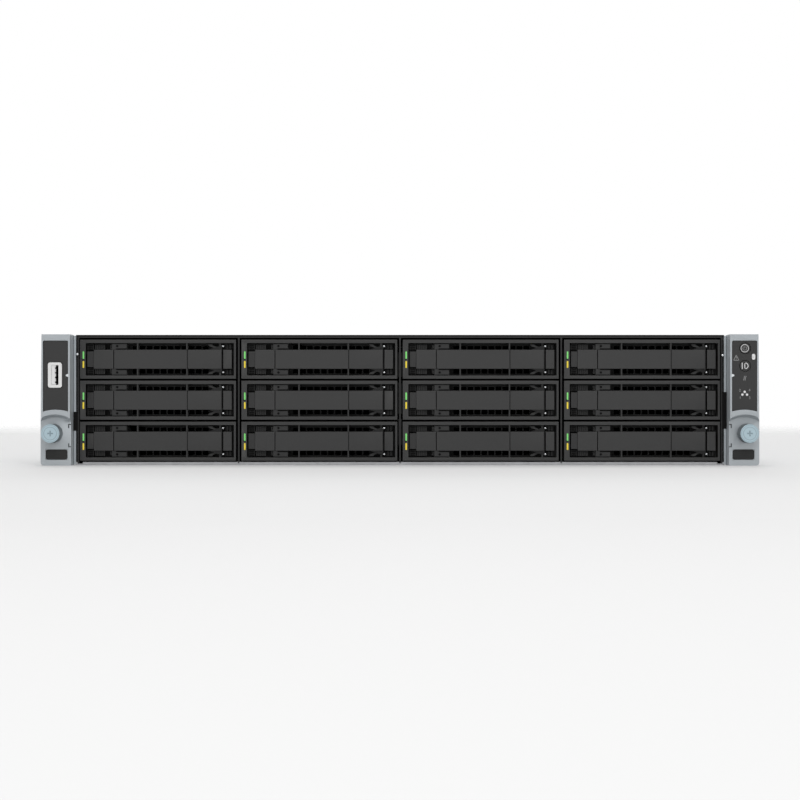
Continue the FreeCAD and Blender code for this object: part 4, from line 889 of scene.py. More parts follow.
# The four notches are black plates: painted shade of the notches.
for notch in range(4):
    middle = 55.9 + 3.15 * notch
    cuboid(ears, (-231.2, -230.3), (port_face + 0.18, port_face + 1.5),
           (middle - 0.45, middle + 0.45), 1)
for side, notch_span, rivet_z in ((-1, (23.2, 36.0), 74.9), (1, (24.5, 49.4), 74.2)):
    # Each nib takes the lighter silver of the painted edge highlights.
    nib_x = side * 222.4
    prism(ears, [(nib_x - side * 0.5, 59.4), (nib_x + side * 1.2, 60.0), (nib_x + side * 1.2, 60.9),
                 (nib_x - side * 0.5, 61.6)], (ear_low.y - 0.02, ear_low.y + 1.8), 0)
    # The bracket's notch is a thin black plate: painted shade of the cut-out.
    cuboid(ears, sorted((side * 217.8, side * 220.7)), (BRACKET_FACE - 0.32, BRACKET_FACE),
           notch_span, 1)
    for foot, head, level in ((25.1, 27.6, 27.6), (12.6, 14.9, 12.6)):
        cuboid(ears, sorted((side * 222.0, side * 222.75)), (PLATE - 0.27, PLATE), (foot, head), 2)
        prism(ears, [(side * 220.9, level - 0.35), (side * 222.75, level - 0.35),
                     (side * 222.75, level + 0.35), (side * 220.9, level + 0.35)],
              (PLATE - 0.28, PLATE), 2)
    turned(ears, (side * 218.0, 0, rivet_z),
           [(0.3, -356.0), (0.75, -355.85), (0.9, -355.5), (0.9, -354.4)], count=14, material=3)
gathered(ears, "ear_small_parts", EAR_PARTS, ("chassis", "silver_plastic"))
print("ear parts placed")

# %% [markdown]
# ## Thumbscrews
# A captive knob is turned from bar: a flat face with a fine ring and a cross for a driver, and a
# knurled side for fingers. The ring and the cross are drawn in a darker copy of the knob's metal,
# painted shade of the groove and of the recess. The knurls are one small ridge repeated round a
# circle, which is what Geometry Nodes do well.


# %% Helpers for node-built repeats
def node_tree(name, inputs):
    """Starts a tree: gives it with its named inputs."""
    tree = bpy.data.node_groups.new(name, "GeometryNodeTree")
    tree.interface.new_socket(name="Geometry", in_out="INPUT", socket_type="NodeSocketGeometry")
    for label, value in inputs.items():
        kind = ("NodeSocketVector" if isinstance(value, tuple) else
                "NodeSocketInt" if isinstance(value, int) else "NodeSocketFloat")
        socket = tree.interface.new_socket(name=label, in_out="INPUT", socket_type=kind)
        socket.default_value = value
    tree.interface.new_socket(name="Geometry", in_out="OUTPUT", socket_type="NodeSocketGeometry")
    return tree, step(tree, "NodeGroupInput").outputs


def spread_out(tree, points, block, **inputs):
    """Puts a copy of a block on every point."""
    return step(tree, "GeometryNodeInstanceOnPoints",
                {"Points": points, "Instance": block.outputs["Mesh"], **inputs}).outputs[0]


def moved_to(tree, geometry, **inputs):
    return step(tree, "GeometryNodeTransform", {"Geometry": geometry, **inputs}).outputs[0]


def finish_tree(tree, geometry, material):
    """Ends a tree the way every tree here ends: real geometry, then its finish."""
    solid = step(tree, "GeometryNodeRealizeInstances", {0: geometry})
    painted = step(tree, "GeometryNodeSetMaterial", {"Geometry": solid.outputs[0],
                                                     "Material": finishes[material]})
    step(tree, "NodeGroupOutput", {0: painted.outputs[0]})
    return tree


def settled(holder):
    """The plain mesh that a holder's nodes or text make. The holder is removed."""
    bpy.context.scene.collection.objects.link(holder)
    bpy.context.view_layer.update()
    ready = holder.evaluated_get(bpy.context.evaluated_depsgraph_get())
    mesh = bpy.data.meshes.new_from_object(ready)
    bpy.data.objects.remove(holder)
    return mesh


def grown(name, tree, values, material, place):
    """Runs a tree once, keeps its plain mesh and places it as a piece."""
    holder = bpy.data.objects.new(name + "_seed", bpy.data.meshes.new(name + "_seed"))
    maker = holder.modifiers.new("maker", "NODES")
    maker.node_group = tree
    for item in tree.interface.items_tree:
        if item.in_out == "INPUT" and item.name in values:
            maker[item.identifier] = values[item.name]
    mesh = settled(holder)
    mesh.name = name
    mesh.materials.clear()
    return place_piece(name, mesh, [material], place)


def ring_tree(name):
    """Cubes of a given size spread round a circle that faces the front."""
    tree, given = node_tree(name, {"Count": 48, "Radius": 0.006, "Centre": (0.0, 0.0, 0.0),
                                   "Ridge": (0.0004, 0.006, 0.0004)})
    circle_line = step(tree, "GeometryNodeMeshCircle", {"Vertices": given["Count"],
                                                        "Radius": given["Radius"]})
    upright = moved_to(tree, circle_line.outputs[0], Rotation=UPRIGHT)
    outward = step(tree, "GeometryNodeInputPosition").outputs[0]
    aim = step(tree, "FunctionNodeAlignRotationToVector", {"Vector": outward}, axis="Z")
    ridge = step(tree, "GeometryNodeMeshCube", {"Size": given["Ridge"]})
    ridges = spread_out(tree, upright, ridge, Rotation=aim.outputs[0])
    return tree, moved_to(tree, ridges, Translation=given["Centre"])


UPRIGHT = (math.radians(90), 0.0, 0.0)
knurls = finish_tree(*ring_tree("knurls"), "knob_grip")
print("trees:", knurls.name)

# %% Knobs
KNOB_Z = sum(corner.z for corner in corners_of("left_thumbscrew")) / 2
KNOB_RADIUS = 6.2
CROSS_REACH = 4               # the cross lies within this of the axis
FLATTENED = 0.72              # the cross is smaller and shallower than the model's
for name, body in (("left_thumbscrew", "left_screw"), ("right_thumbscrew", "right_screw")):
    knob_low, knob_high = corners_of(name)
    knob_x = (knob_low.x + knob_high.x) / 2
    face_y = knob_low.y

    def knob_finish(middle, normal, knob_x=knob_x, face_y=face_y):
        away = math.hypot(middle.x - knob_x, middle.z - KNOB_Z)
        behind = middle.y - face_y
        if behind > 11.4:
            return 3
        # The cross's walls and floor take the darker copy as painted shade of the recess.
        if 0.1 < behind < 1.4 and away < CROSS_REACH:
            return 2
        return 0 if middle.y < face_y + 0.1 else 1

    def fade_cross(shape, knob_x=knob_x, face_y=face_y):
        for spot in shape.verts:
            x, y, z = spot.co / MM
            if math.hypot(x - knob_x, z - KNOB_Z) < CROSS_REACH and y < face_y + 1.6:
                spot.co.x = (knob_x + FLATTENED * (x - knob_x)) * MM
                spot.co.z = (KNOB_Z + FLATTENED * (z - KNOB_Z)) * MM
                if y > face_y + 0.2:
                    spot.co.y = (face_y + 0.22) * MM

    dress(name, ["knob_face", "knob_grip", "knob_mark", "bright_pin"], knob_finish, edge=0.12,
          reshape=fade_cross)
    centre = (knob_x * MM, (face_y + 6.2) * MM, KNOB_Z * MM)
    grown(f"{name}_knurls", knurls,
          {"Count": 60, "Radius": KNOB_RADIUS * MM, "Centre": centre,
           "Ridge": (0.32 * MM, 9.0 * MM, 0.32 * MM)}, "knob_grip", (body, "knob_metal"))
    # The fine rings are flat, darker rings on the face: painted shade of turned grooves.
    rings = bmesh.new()
    for radius, width in ((4.25, 0.32), (5.5, 0.2)):
        ring(rings, knob_x, KNOB_Z, radius, width, (face_y - 0.02, face_y + 0.2), count=48)
    bmesh.ops.remove_doubles(rings, verts=rings.verts, dist=1e-7)
    gathered(rings, f"{name}_ring", ["knob_mark"], (body, "knob_metal"))
print("knob axis", round(KNOB_Z, 2), "mm up")

# %% [markdown]
# ## Buttons and printed marks
# The right inlay carries the power and identify buttons and the usual signs: a warning triangle, a
# drive, a link and a small network with four numbers. Signs are screen-printed, so they're drawn as
# very thin plates that lie on the inlay. Text is made a mesh before it's placed.

# %% Buttons
for name in ("power_button", "id_button"):
    # The buttons' sides take the darker well copy as painted shade.
    dress(name, ["panel_grey", "carrier_well"], lambda m, n: 0 if n.y < -0.9 else 1, edge=0.25)
print("buttons dressed")


# %% Printed marks
def text_mesh(words, size, x, z, y, thickness=0.04):
    """Words as a thin solid that faces the front, centred on x and z in mm."""
    curve = bpy.data.curves.new("mark_" + words, "FONT")
    curve.body = words
    curve.size = size * MM
    curve.align_x = "CENTER"
    curve.align_y = "CENTER"
    curve.extrude = thickness / 2 * MM
    mesh = settled(bpy.data.objects.new("mark_" + words, curve))
    mesh.transform(Matrix.Translation((x * MM, y * MM, z * MM))
                   @ Matrix.Rotation(math.radians(90), 4, "X"))
    return mesh


def stroke(shape, start, end, width, y, material=0):
    along = Vector((end[0] - start[0], end[1] - start[1])).normalized() * width / 2
    side = Vector((-along.y, along.x))
    first, second = Vector(start), Vector(end)
    prism(shape, [tuple(first + side), tuple(second + side), tuple(second - side),
                  tuple(first - side)], y, material)


def printed(face):
    """The two y values of a print on a face."""
    return (face - 0.03, face + 0.02)


BUTTON_X, POWER_Z, ID_Z = 230.75, 78.6, 66.85
WARNING_X = 225.05
skin_y = printed(corners_of("ear_panels")[0].y)
button_y = printed(corners_of("power_button")[0].y)
marks = bmesh.new()
triangle = [(WARNING_X, 74.0), (WARNING_X - 1.75, 70.6), (WARNING_X + 1.75, 70.6)]
for i in range(3):
    stroke(marks, triangle[i], triangle[(i + 1) % 3], 0.38, skin_y)
for top, foot in ((73.0, 71.8), (71.45, 71.15)):
    stroke(marks, (WARNING_X, top), (WARNING_X, foot), 0.36, skin_y)
prism(marks, rounded((235.55, 237.75), (71.0, 74.9), 1.05, 6), skin_y, 1)
prism(marks, rounded((236.0, 236.5), (72.3, 73.1), 0.2, 3), (skin_y[0] - 0.02, skin_y[1]), 0)
for shift in (-0.55, 0.35):
    stroke(marks, (230.55 + shift, 57.1), (231.15 + shift, 60.1), 0.42, skin_y)
for left, level in ((229.6, 57.6), (231.2, 59.6)):
    stroke(marks, (left, level), (left + 0.7, level), 0.3, skin_y)
for radius, count, material, dots in ((0.78, 16, 1, ((230.7, 49.5), (229.15, 47.6), (232.3, 47.6))),
                                      (0.3, 8, 0, ((229.95, 48.6), (231.5, 48.6)))):
    for dot in dots:
        prism(marks, circle(*dot, radius, count), skin_y, material)
gathered(marks, "inlay_marks", ["print_grey", "port_white"], ("chassis", "white_plastic"))
signs = bmesh.new()
for words, x, z in (("2", 227.5, 50.4), ("4", 233.9, 50.5), ("1", 227.7, 45.5),
                    ("3", 234.0, 45.4)):
    signs.from_mesh(text_mesh(words, 2.5, x, z, skin_y[0] + 0.02))
gathered(signs, "inlay_numbers", ["print_grey"], ("chassis", "white_plastic"))
power = bmesh.new()
ring(power, BUTTON_X, POWER_Z, 2.5, 0.42, button_y)
ring(power, BUTTON_X, POWER_Z, 1.25, 0.3, button_y, 1, start=math.radians(125),
     sweep=math.radians(290))
stroke(power, (BUTTON_X, 78.7), (BUTTON_X, 80.2), 0.32, button_y, 1)
gathered(power, "power_mark", ["print_white", "print_grey"],
         ("power_button_cap", "white_plastic"))
letters = bmesh.new()
for start, end, width in (((229.05, 64.7), (229.05, 69.0), 0.6),
                          ((BUTTON_X, 64.7), (BUTTON_X, 69.0), 0.6),
                          ((230.5, 64.95), (231.15, 64.95), 0.55),
                          ((230.5, 68.75), (231.15, 68.75), 0.55)):
    stroke(letters, start, end, width, button_y)
ring(letters, 231.1, ID_Z, 1.9, 0.58, button_y, start=-math.pi / 2, sweep=math.pi, count=18)
gathered(letters, "id_mark", ["print_white"], ("id_button_cap", "white_plastic"))
print("marks printed")

# %% [markdown]
# ## Sheet-metal chassis
# The tray is bare galvanised steel with its crystal pattern, but its front edges take black as
# painted shade of the dark gap beside the ears, and its turned-up front lip takes a paler, less
# metallic copy of the steel as a painted highlight, one pale line.

# %% Tray
tray_low, tray_high = corners_of("chassis_tray")
LIP_DEPTH, LIP_TOP, LIP_END = 1.4, 2.12, 214.5


def tray_finish(middle, normal):
    # The lip takes the paler steel as a painted highlight, and the other front faces take black as
    # painted shade.
    if middle.y < tray_low.y + LIP_DEPTH and middle.z < 3:
        return 1
    return 2 if middle.y < tray_low.y + 0.2 and normal.y < -0.9 else 0


def part_lip(shape):
    """Cuts the front faces beside and above the lip, so that it can take its own paler finish, a
    painted highlight.
    """
    for spot, across in (((-LIP_END, 0, 0), (1, 0, 0)), ((LIP_END, 0, 0), (1, 0, 0)),
                         ((0, 0, LIP_TOP), (0, 0, 1))):
        front = [face for face in shape.faces if face.calc_center_median().y
                 < (tray_low.y + 0.2) * MM and face.normal.y < -0.9]
        edges = {edge for face in front for edge in face.edges}
        corners = {corner for face in front for corner in face.verts}
        bmesh.ops.bisect_plane(shape, geom=[*corners, *edges, *front], dist=1e-7,
                               plane_co=[part * MM for part in spot], plane_no=across)


dress("chassis_tray", ["zinc_steel", "lip_steel", "cage_black"], tray_finish, edge=0.12,
      reshape=part_lip)
# Each screw has a flat dark hexagon on its head, painted shade of its socket.
side_screws = bmesh.new()
for side in (-1, 1):
    wall_x = side * tray_high.x
    for y in (-160, -60, 40, 140, 240, 335):
        for z in (12, 76):
            for steps, count, material in ((((2.6, -0.5), (2.6, 0.2), (2.1, 0.5)), 24, 0),
                                           (((1.0, 0.4), (1.0, 0.55)), 6, 1)):
                turned(side_screws, (0, y, z), [(r, wall_x + side * out) for r, out in steps],
                       axis="X", count=count, material=material)
gathered(side_screws, "side_screws", ["supply_steel", "cage_black"], "chassis_tray")
print("tray front at", round(tray_low.y, 1))

# %% Cover and latch
cover_low, cover_high = corners_of("top_cover")
latch_low, latch_high = corners_of("cover_latch")


def cover_finish(middle, normal):
    """The latch's pin is bright, the undersides and the skirts are bare, the rest is painted."""
    across = abs(middle.x)
    if across < 17 and 84.2 < middle.z < 86.8 and middle.y > latch_high.y - 4:
        return 2
    return 1 if normal.z < -0.5 or middle.z < cover_high.z - 5 and across > 200 else 0


dress("top_cover", ["coated_steel", "zinc_steel", "bright_pin"], cover_finish, edge=0.15)
dress("cover_latch", ["latch_blue"], lambda m, n: 0, edge=0.6)

grips = bmesh.new()
for row in range(5):
    y = latch_low.y + 4.5 + 2.6 * row
    cuboid(grips, (-11, 11), (y, y + 1.1), (latch_high.z - 0.4, latch_high.z + 0.22))
gathered(grips, "latch_grips", ["latch_blue"], "cover_latch", edge=0.2)
sign = bmesh.new()
top_z = latch_high.z
middle_y = (latch_low.y + latch_high.y) / 2
ARROW_HEAD = [(-5, -8), (5, -8), (0, -16)]
ARROW_SHAFT = [(-1.6, -8), (-1.6, 4), (1.6, 4), (1.6, -8)]
STOP_BAR = [(-6, 8), (-6, 9.5), (6, 9.5), (6, 8)]
for outline in (ARROW_HEAD, ARROW_SHAFT, STOP_BAR):
    prism(sign, [(x, middle_y + y) for x, y in outline], (0.0, 0.1))
bmesh.ops.rotate(sign, verts=sign.verts, cent=(0, 0, 0),
                 matrix=Matrix.Rotation(math.radians(90), 3, "X"))
for spot in sign.verts:
    spot.co.y, spot.co.z = -spot.co.y, top_z * MM + abs(spot.co.z) - 0.05 * MM
gathered(sign, "latch_sign", ["print_white"], "cover_latch")
print("cover", round(cover_high.x - cover_low.x), "mm wide")

# %% [markdown]
# ## Node-built rows and scatters
# Inside a server nearly everything comes in rows: chips on a memory module, pins in a connector,
# pins under a board. One tree places a block on a grid with its own pitch on each axis, and a
# second one spreads small parts over a board with random places, turns and sizes.


# %% Grid and scatter trees
def field_of(tree, given):
    return step(tree, "GeometryNodeMeshGrid", {
        "Vertices X": given["Columns"], "Vertices Y": given["Rows"],
        "Size X": given["Reach X"], "Size Y": given["Reach Y"]}).outputs["Mesh"]


def grid_tree():
    """Equal blocks on a grid, which Turn stands up from the XY plane."""
    tree, given = node_tree("block_grid", {
        "Columns": 2, "Rows": 1, "Reach X": 0.01, "Reach Y": 0.001, "Piece": (0.001, 0.001, 0.001),
        "Turn": (0.0, 0.0, 0.0), "Centre": (0.0, 0.0, 0.0)})
    stood = moved_to(tree, field_of(tree, given), Rotation=given["Turn"])
    block = step(tree, "GeometryNodeMeshCube", {"Size": given["Piece"]})
    return tree, moved_to(tree, spread_out(tree, stood, block), Translation=given["Centre"])


def scatter_tree():
    """Small blocks spread over a flat board at random, never outside it."""
    tree, given = node_tree("board_scatter", {
        "Columns": 12, "Rows": 12, "Reach X": 0.1, "Reach Y": 0.1, "Seed": 1,
        "Least": (0.001, 0.001, 0.0004), "Most": (0.003, 0.003, 0.001), "Share": 0.5,
        "Turn": (0.0, 0.0, 0.0), "Centre": (0.0, 0.0, 0.0)})
    nudge, sizes, chance = (
        step(tree, "FunctionNodeRandomValue", {**inputs, "Seed": given["Seed"]}, data_type=kind)
        for kind, inputs in (("FLOAT_VECTOR", {0: (-NUDGE, -NUDGE, 0.0), 1: (NUDGE, NUDGE, 0.0)}),
                             ("FLOAT_VECTOR", {0: given["Least"], 1: given["Most"]}),
                             ("BOOLEAN", {"Probability": given["Share"]})))
    shifted = step(tree, "GeometryNodeSetPosition", {"Geometry": field_of(tree, given),
                                                     "Offset": nudge.outputs[0]})
    block = step(tree, "GeometryNodeMeshCube", {"Size": (1.0, 1.0, 1.0)})
    parts = spread_out(tree, shifted.outputs[0], block, Selection=chance.outputs[3],
                       Scale=sizes.outputs[0])
    return tree, moved_to(tree, parts, Rotation=given["Turn"], Translation=given["Centre"])


NUDGE = 0.0018                # metres that a part may leave its place on the grid
TREES = {}


def repeated(kind, name, material, node, **values):
    """Grows a grid or a scatter in a finish, on a node's body. Lengths are in mm."""
    key = (kind, material)
    if key not in TREES:
        tree, made = grid_tree() if kind == "grid" else scatter_tree()
        tree.name = f"{tree.name}_{material}"
        TREES[key] = finish_tree(tree, made, material)
    ready = {}
    for label, value in values.items():
        label = label.replace("_", " ")
        if label in ("Columns", "Rows", "Seed", "Share", "Turn"):
            ready[label] = value
        elif isinstance(value, tuple):
            ready[label] = tuple(part * MM for part in value)
        else:
            ready[label] = value * MM
    return grown(name, TREES[key], ready, material, node)


EDGEWAYS = (math.radians(90), 0.0, math.radians(90))
print("trees made when first used")

# %% [markdown]
# ## Backplane and fans
# The backplane is a board with a plug behind each bay. The fans are black moulded frames in a zinc
# wall, each with rubber mounts at its corners.

# %% Backplane
back_low, back_high = corners_of("backplane")
BOARD_BACK = back_high.y
COLUMNS, ROWS = (-163.5, -54.5, 54.5, 163.5), (10.0, 37.7, 65.4)
dress("backplane", ["board_green", "black_plastic"],
      lambda m, n: 1 if m.y < BOARD_BACK - 1.7 else 0, edge=0.12)
plug_centres = [(column, row) for column in COLUMNS for row in ROWS]
for i, (px, pz) in enumerate(plug_centres):
    repeated("grid", f"plug_contacts_{i + 1}", "contact_gold", "backplane", Columns=22, Rows=2,
             Reach_X=38.0, Reach_Y=2.4, Piece=(0.7, 0.25, 0.9), Turn=UPRIGHT,
             Centre=(px, back_low.y - 0.02, pz))
repeated("scatter", "backplane_parts", "chip_black", "backplane", Columns=34, Rows=9,
         Reach_X=400.0, Reach_Y=66.0, Seed=4, Least=(1.2, 1.0, 0.5), Most=(3.4, 3.4, 1.6),
         Share=0.34, Turn=UPRIGHT, Centre=(0, BOARD_BACK + 0.3, 44))
headers = bmesh.new()
for px in (-150, -70, 20, 110, 180):
    cuboid(headers, (px - 8, px + 8), (BOARD_BACK, BOARD_BACK + 9), (18, 25))
    cuboid(headers, (px - 7, px + 7), (BOARD_BACK + 9, BOARD_BACK + 9.2), (19, 24), 1)
    cuboid(headers, (px - 12, px + 12), (BOARD_BACK, BOARD_BACK + 7), (60, 65.5), 1)
gathered(headers, "backplane_headers", ["socket_ivory", "black_plastic"],
         "backplane", edge=0.25)
print(len(plug_centres), "plugs")

# %% Fans
WALL_FRONT, WALL_BACK = -115.1, -113.7
WALL_END, WALL_TOP = 190, 84.2
FAN_FRONT, FAN_REAR = -128.9, -91.1
HUB = 19


def frame_finish(middle, normal):
    in_wall = WALL_FRONT < middle.y < WALL_BACK
    edge_or_face = abs(middle.x) > WALL_END or middle.z > WALL_TOP or abs(normal.y) > 0.9
    return 0 if in_wall and edge_or_face else 1


dress("fan_frames", ["zinc_steel", "fan_black"], frame_finish, edge=0.25)
mounts = bmesh.new()
for middle_x in (-132, 0, 132):
    for side_x in (-1, 1):
        for mount_z in (10, 78):
            for profile in ([(1.6, FAN_FRONT - 0.9), (2.6, FAN_FRONT - 0.7), (2.6, FAN_FRONT)],
                            [(2.6, FAN_REAR), (2.6, FAN_REAR + 0.7), (1.6, FAN_REAR + 0.9)]):
                turned(mounts, (middle_x + side_x * 34.0, 0, mount_z), profile, count=16)
gathered(mounts, "fan_mounts", ["pad_rubber"], "fan_frames")
for i in (1, 2, 3):
    name = f"fan_rotor_{i}"
    low_corner, high_corner = corners_of(name)
    axis_x, axis_z = (low_corner.x + high_corner.x) / 2, (low_corner.z + high_corner.z) / 2

    def rotor_finish(middle, normal, axis_x=axis_x, axis_z=axis_z):
        return 1 if math.hypot(middle.x - axis_x, middle.z - axis_z) < HUB else 0

    dress(name, ["fan_black", "chip_black"], rotor_finish, edge=0.2)
print("three fans")

# %% [markdown]
# ## Main board, memory and heat sinks
# The board carries two processors under tall finned coolers, sixteen memory modules and hundreds of
# small parts, which are spread by the scatter tree between the large ones.

# %% Main board
BOARD_FOOT, BOARD_TOP = 8.05, 9.6
MODULE_FINISHES = [((8, 46), (99, 136), 2), ((-81, -3), (-13, 65), 3), ((81, 158), (-13, 65), 3)]


def board_finish(middle, normal):
    """The chip and the two sockets are known by where they stand, the standoffs by height."""
    x, y, z = middle
    if z < BOARD_FOOT and abs(normal.z) <= 0.9:
        return 1
    if z < BOARD_TOP + 0.01:
        return 0 if z > 7.9 else 1
    for across, along, found in MODULE_FINISHES:
        if across[0] < x < across[1] and along[0] < y < along[1]:
            return found
    return 4


dress("motherboard", ["board_green", "solder_tin", "chip_black", "socket_ivory",
                      "black_plastic"], board_finish, edge=0.15)
AREAS = [(-100, 300, 36, 70, 5), (60, 300, 60, 60, 6), (170, 240, 60, 150, 7),
         (-60, 200, 100, 90, 8), (60, 200, 70, 90, 9), (-42, -30, 70, 12, 10),
         (120, -30, 70, 12, 11), (-42, 84, 70, 10, 12), (120, 84, 60, 10, 13)]
for i, (px, py, wide, deep, seed) in enumerate(AREAS):
    repeated("scatter", f"board_parts_{i + 1}", "chip_black" if i % 2 else "solder_tin",
             "motherboard", Columns=max(4, int(wide / 5)), Rows=max(3, int(deep / 5)),
             Reach_X=wide - 6.0, Reach_Y=deep - 6.0, Seed=seed, Least=(0.8, 0.8, 0.5),
             Most=(3.4, 3.2, 1.8), Share=0.42, Turn=(0.0, 0.0, 0.0),
             Centre=(px, py, BOARD_TOP + 0.35))
parts = bmesh.new()
for px, py, wide, deep, tall, material in (
        (-60, 270, 24, 24, 2.2, 0), (60, 265, 17, 17, 1.8, 0), (165, 150, 20, 20, 2.0, 0),
        (-95, 150, 12, 30, 9, 1), (-60, 150, 5, 36, 9, 1), (150, 300, 18, 12, 8, 1),
        (60, 320, 26, 7, 8, 0), (-90, 330, 22, 6, 10, 0), (205, 160, 6, 40, 9, 1)):
    cuboid(parts, (px - wide / 2, px + wide / 2), (py - deep / 2, py + deep / 2),
           (BOARD_TOP - 0.1, BOARD_TOP + tall), material)
for row in range(2):          # capacitors on the left, coils on the right
    for k in range(8):
        turned(parts, (-78 + 10.4 * k, 112 + 12 * row, BOARD_TOP - 0.1),
               [(4.0, 0), (4.0, 8.0), (3.5, 8.6)], axis="Z", count=20, material=2)
        cuboid(parts, (86 + 9 * k, 92.5 + 9 * k), (110 + 12 * row, 116.5 + 12 * row),
               (BOARD_TOP - 0.1, BOARD_TOP + 4.2), 3)
turned(parts, (20, 300, BOARD_TOP - 0.1), [(10.2, 0), (10.2, 3.2), (9.8, 3.4)], axis="Z",
       count=32, material=2)
gathered(parts, "board_large_parts", ["chip_black", "socket_ivory", "solder_tin", "duct_black"],
         "motherboard", edge=0.2)
print("board parts in", len(AREAS), "areas")

# %% Memory
module_low, module_high = corners_of("memory_modules")
dress("memory_modules", ["board_green"], lambda m, n: 0, edge=0.1)
latches = bmesh.new()
MODULES = [first + 8.5 * i for first, count in ((-118.5, 4), (9, 8), (170.5, 4))
           for i in range(count)]
MODULE_MIDDLE = (module_low.y + module_high.y) / 2
for px in MODULES:
    for end_y, toward in ((-43.0, -1), (96.4, 1)):
        cuboid(latches, (px - 3.0, px + 3.0), sorted((end_y - 5.5 * toward, end_y)), (15.4, 25.5))
        cuboid(latches, (px - 2.2, px + 2.2),
               sorted((end_y - 2.0 * toward, end_y + 2.5 * toward)), (25.0, 27.5))
gathered(latches, "memory_latches", ["socket_ivory"], "motherboard", edge=0.3)
for i, px in enumerate(MODULES):
    for side, letter in ((-1, "a"), (1, "b")):
        repeated("grid", f"memory_chips_{i + 1}_{letter}", "chip_black", "memory_modules",
                 Columns=9, Rows=1, Reach_X=108.0, Reach_Y=0.0, Piece=(9.6, 8.6, 0.7),
                 Turn=EDGEWAYS, Centre=(px + side * 0.82, MODULE_MIDDLE, module_high.z - 9.0))
print(2 * len(MODULES), "rows of chips")

# %% Heat sinks and duct
dress("heat_sinks", ["sink_aluminium"], lambda m, n: 0, edge=0.08)
dress("air_duct", ["duct_black"], lambda m, n: 0, edge=0.6)
screws = bmesh.new()
for centre_x in (-42, 119.5):
    for side_x in (-1, 1):
        for y in (-17, 69):
            spot = (centre_x + side_x * 33, y, 0)
            turned(screws, spot, [(3.6, 16.6), (3.6, 27), (3.0, 27.8)], axis="Z", count=20)
            # A flat dark hexagon on each head is painted shade of its socket.
            turned(screws, spot, [(1.6, 27.7), (1.5, 28.1)], axis="Z", count=6, material=1)
gathered(screws, "sink_screws", ["bright_pin", "chip_black"], "heat_sinks")
print("coolers and duct")

# %% [markdown]
# ## Rear side
# The rear wall is zinc sheet with slot covers, port blocks and two power supplies. Slot covers are
# punched with rows of small holes, and dark blocks sunk in them stand for the holes: painted shade
# where the holes would be.

# %% Slot covers, ports and risers
dress("riser_cards", ["board_green", "zinc_steel"], lambda m, n: 1 if m.y > 340 else 0, edge=0.1)
for i, (px, pz) in enumerate([(56, 27), (56, 47.2), (56, 67.5), (163, 47.2), (163, 67.5)]):
    repeated("grid", f"slot_holes_{i + 1}", "cage_black", "riser_cards", Columns=21, Rows=3,
             Reach_X=90.0, Reach_Y=9.0, Piece=(3.0, 3.0, 1.1), Turn=UPRIGHT,
             Centre=(px, 349.15, pz))
for px, seed in ((4.0, 21), (111.0, 22)):
    repeated("scatter", f"riser_parts_{seed}", "chip_black", "riser_cards", Columns=22, Rows=9,
             Reach_X=124.0, Reach_Y=48.0, Seed=seed, Least=(0.8, 0.8, 0.5), Most=(3.2, 2.6, 1.4),
             Share=0.3, Turn=EDGEWAYS, Centre=(px + 1.7, 256.6, 44.6))


JACKS = (167.0, 184.5, 202.0)
VIDEO = (112.5, 142)
SOCKETS = ((141.8, 156.2), (159.0, 175.0), (176.5, 192.5), (194.0, 210.0))


def port_finish(middle, normal):
    x, y, z = middle
    if x < VIDEO[0] or x > 210.5:
        return 0
    if x < VIDEO[1]:
        return 2 if y > 356.0 and normal.y > 0.9 else 0
    inside = any(left + 0.5 < x < right - 0.5 for left, right in SOCKETS)
    return 1 if 333.4 < y < 350.9 and inside and 10.0 < z < 24.9 else 0


dress("rear_ports", ["jack_metal", "black_plastic", "latch_blue"], port_finish, edge=0.15)
PORT_PARTS = ["contact_gold", "lamp_green", "lamp_yellow", "cage_black", "bright_pin"]
port_parts = bmesh.new()
for px in JACKS:
    for pin in range(8):
        cuboid(port_parts, (px - 3.6 + pin, px - 3.25 + pin), (340.0, 349.5), (19.4, 19.8), 0)
    for lamp_x, material in ((px - 5.6, 1), (px + 5.6, 2)):
        cuboid(port_parts, (lamp_x - 1.2, lamp_x + 1.2), (350.6, 351.28), (21.3, 22.4), material)
# The dark discs in the screw posts and the fifteen dark discs of the video plug are painted shade
# of their holes.
for px in (115.6, 138.4):
    turned(port_parts, (px, 0, 15.85), [(2.6, 350.5), (2.6, 354.0), (2.2, 354.3)], count=6,
           material=4)
    turned(port_parts, (px, 0, 15.85), [(1.3, 354.2), (1.3, 354.4)], count=16, material=3)
for row, shift in enumerate((0.0, 1.1, 0.0)):
    for k in range(5):
        turned(port_parts, (127 - 4.6 + 2.3 * k + shift - 0.5, 0, 18.4 - 2.4 * row),
               [(0.45, 355.9), (0.45, 356.12)], count=10, material=3)
gathered(port_parts, "port_parts", PORT_PARTS, "rear_ports")
print("ports and slot covers")

# %% [markdown]
# ## Power supplies
# Each supply is a brushed steel case with a black handle, a latch, an inlet with three pins, a lamp
# and a round air outlet guarded by wire rings and spokes.

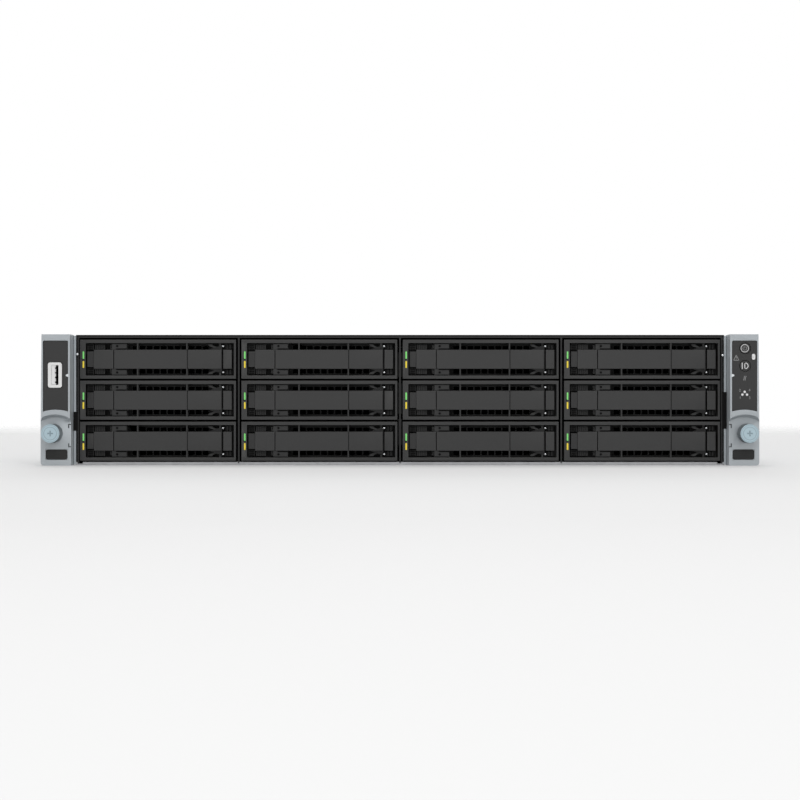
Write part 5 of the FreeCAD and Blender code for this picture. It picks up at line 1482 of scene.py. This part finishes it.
# %% Power supplies
REAR = 352.1                  # the supplies' rear faces
OUTLET_X, LAMP_X = -153.3, -206.5
MIDDLE = 20                   # height of a supply's outlet, handle and inlet over its foot
for name in ("psu_1", "psu_2"):
    foot = corners_of(name)[0].z

    def supply_finish(middle, normal, foot=foot):
        x, y, z = middle
        level = abs(z - foot - MIDDLE)
        if y > 352.0 and x > -175 and level < 6.2 and (y > 352.3 or abs(normal.y) < 0.9):
            return 1
        if 336 < y < 352 and -210 < x < -186 and 14 < z - foot < 28:
            return 2 if y < 347.2 and abs(normal.y) < 0.95 and level < 5.3 else 1
        return 0

    dress(name, ["supply_steel", "black_plastic", "bright_pin"], supply_finish, edge=0.25)
    guard = bmesh.new()
    fan_z = foot + MIDDLE
    prism(guard, circle(OUTLET_X, fan_z, 17.2, 48), (REAR - 0.6, REAR + 0.06), 1)
    turned(guard, (OUTLET_X, 0, fan_z), [(6.0, REAR - 0.5), (6.0, REAR + 0.3), (5.4, REAR + 0.45)],
           count=32, material=2)
    for radius in (9.2, 12.6, 16.2):
        ring(guard, OUTLET_X, fan_z, radius, 1.0, (REAR, REAR + 0.75), count=40)
    for spoke in range(4):
        angle = math.pi / 4 + spoke * math.pi / 2
        inner, outer = ((OUTLET_X + reach * math.cos(angle), fan_z + reach * math.sin(angle))
                        for reach in (5, 17.6))
        stroke(guard, inner, outer, 1.0, (REAR, REAR + 0.6))
    bmesh.ops.remove_doubles(guard, verts=guard.verts, dist=1e-7)
    gathered(guard, f"{name}_guard", ["supply_steel", "cage_black", "fan_black"], name)
    small = bmesh.new()
    turned(small, (LAMP_X, 0, foot + 35.0),
           [(1.0, REAR - 0.5), (1.0, REAR + 0.35), (0.7, REAR + 0.6)], count=16)
    cuboid(small, (-134.6, -131.6), (REAR - 0.5, REAR + 3.2), (foot + 13, foot + 27), 1)
    for rib in range(4):
        cuboid(small, (-134.4, -131.8), (REAR + 3.1, REAR + 3.6),
               (foot + 14.5 + 3 * rib, foot + 16 + 3 * rib), 1)
    gathered(small, f"{name}_small_parts", ["lamp_green", "latch_blue"], name, edge=0.15)
print("two power supplies")
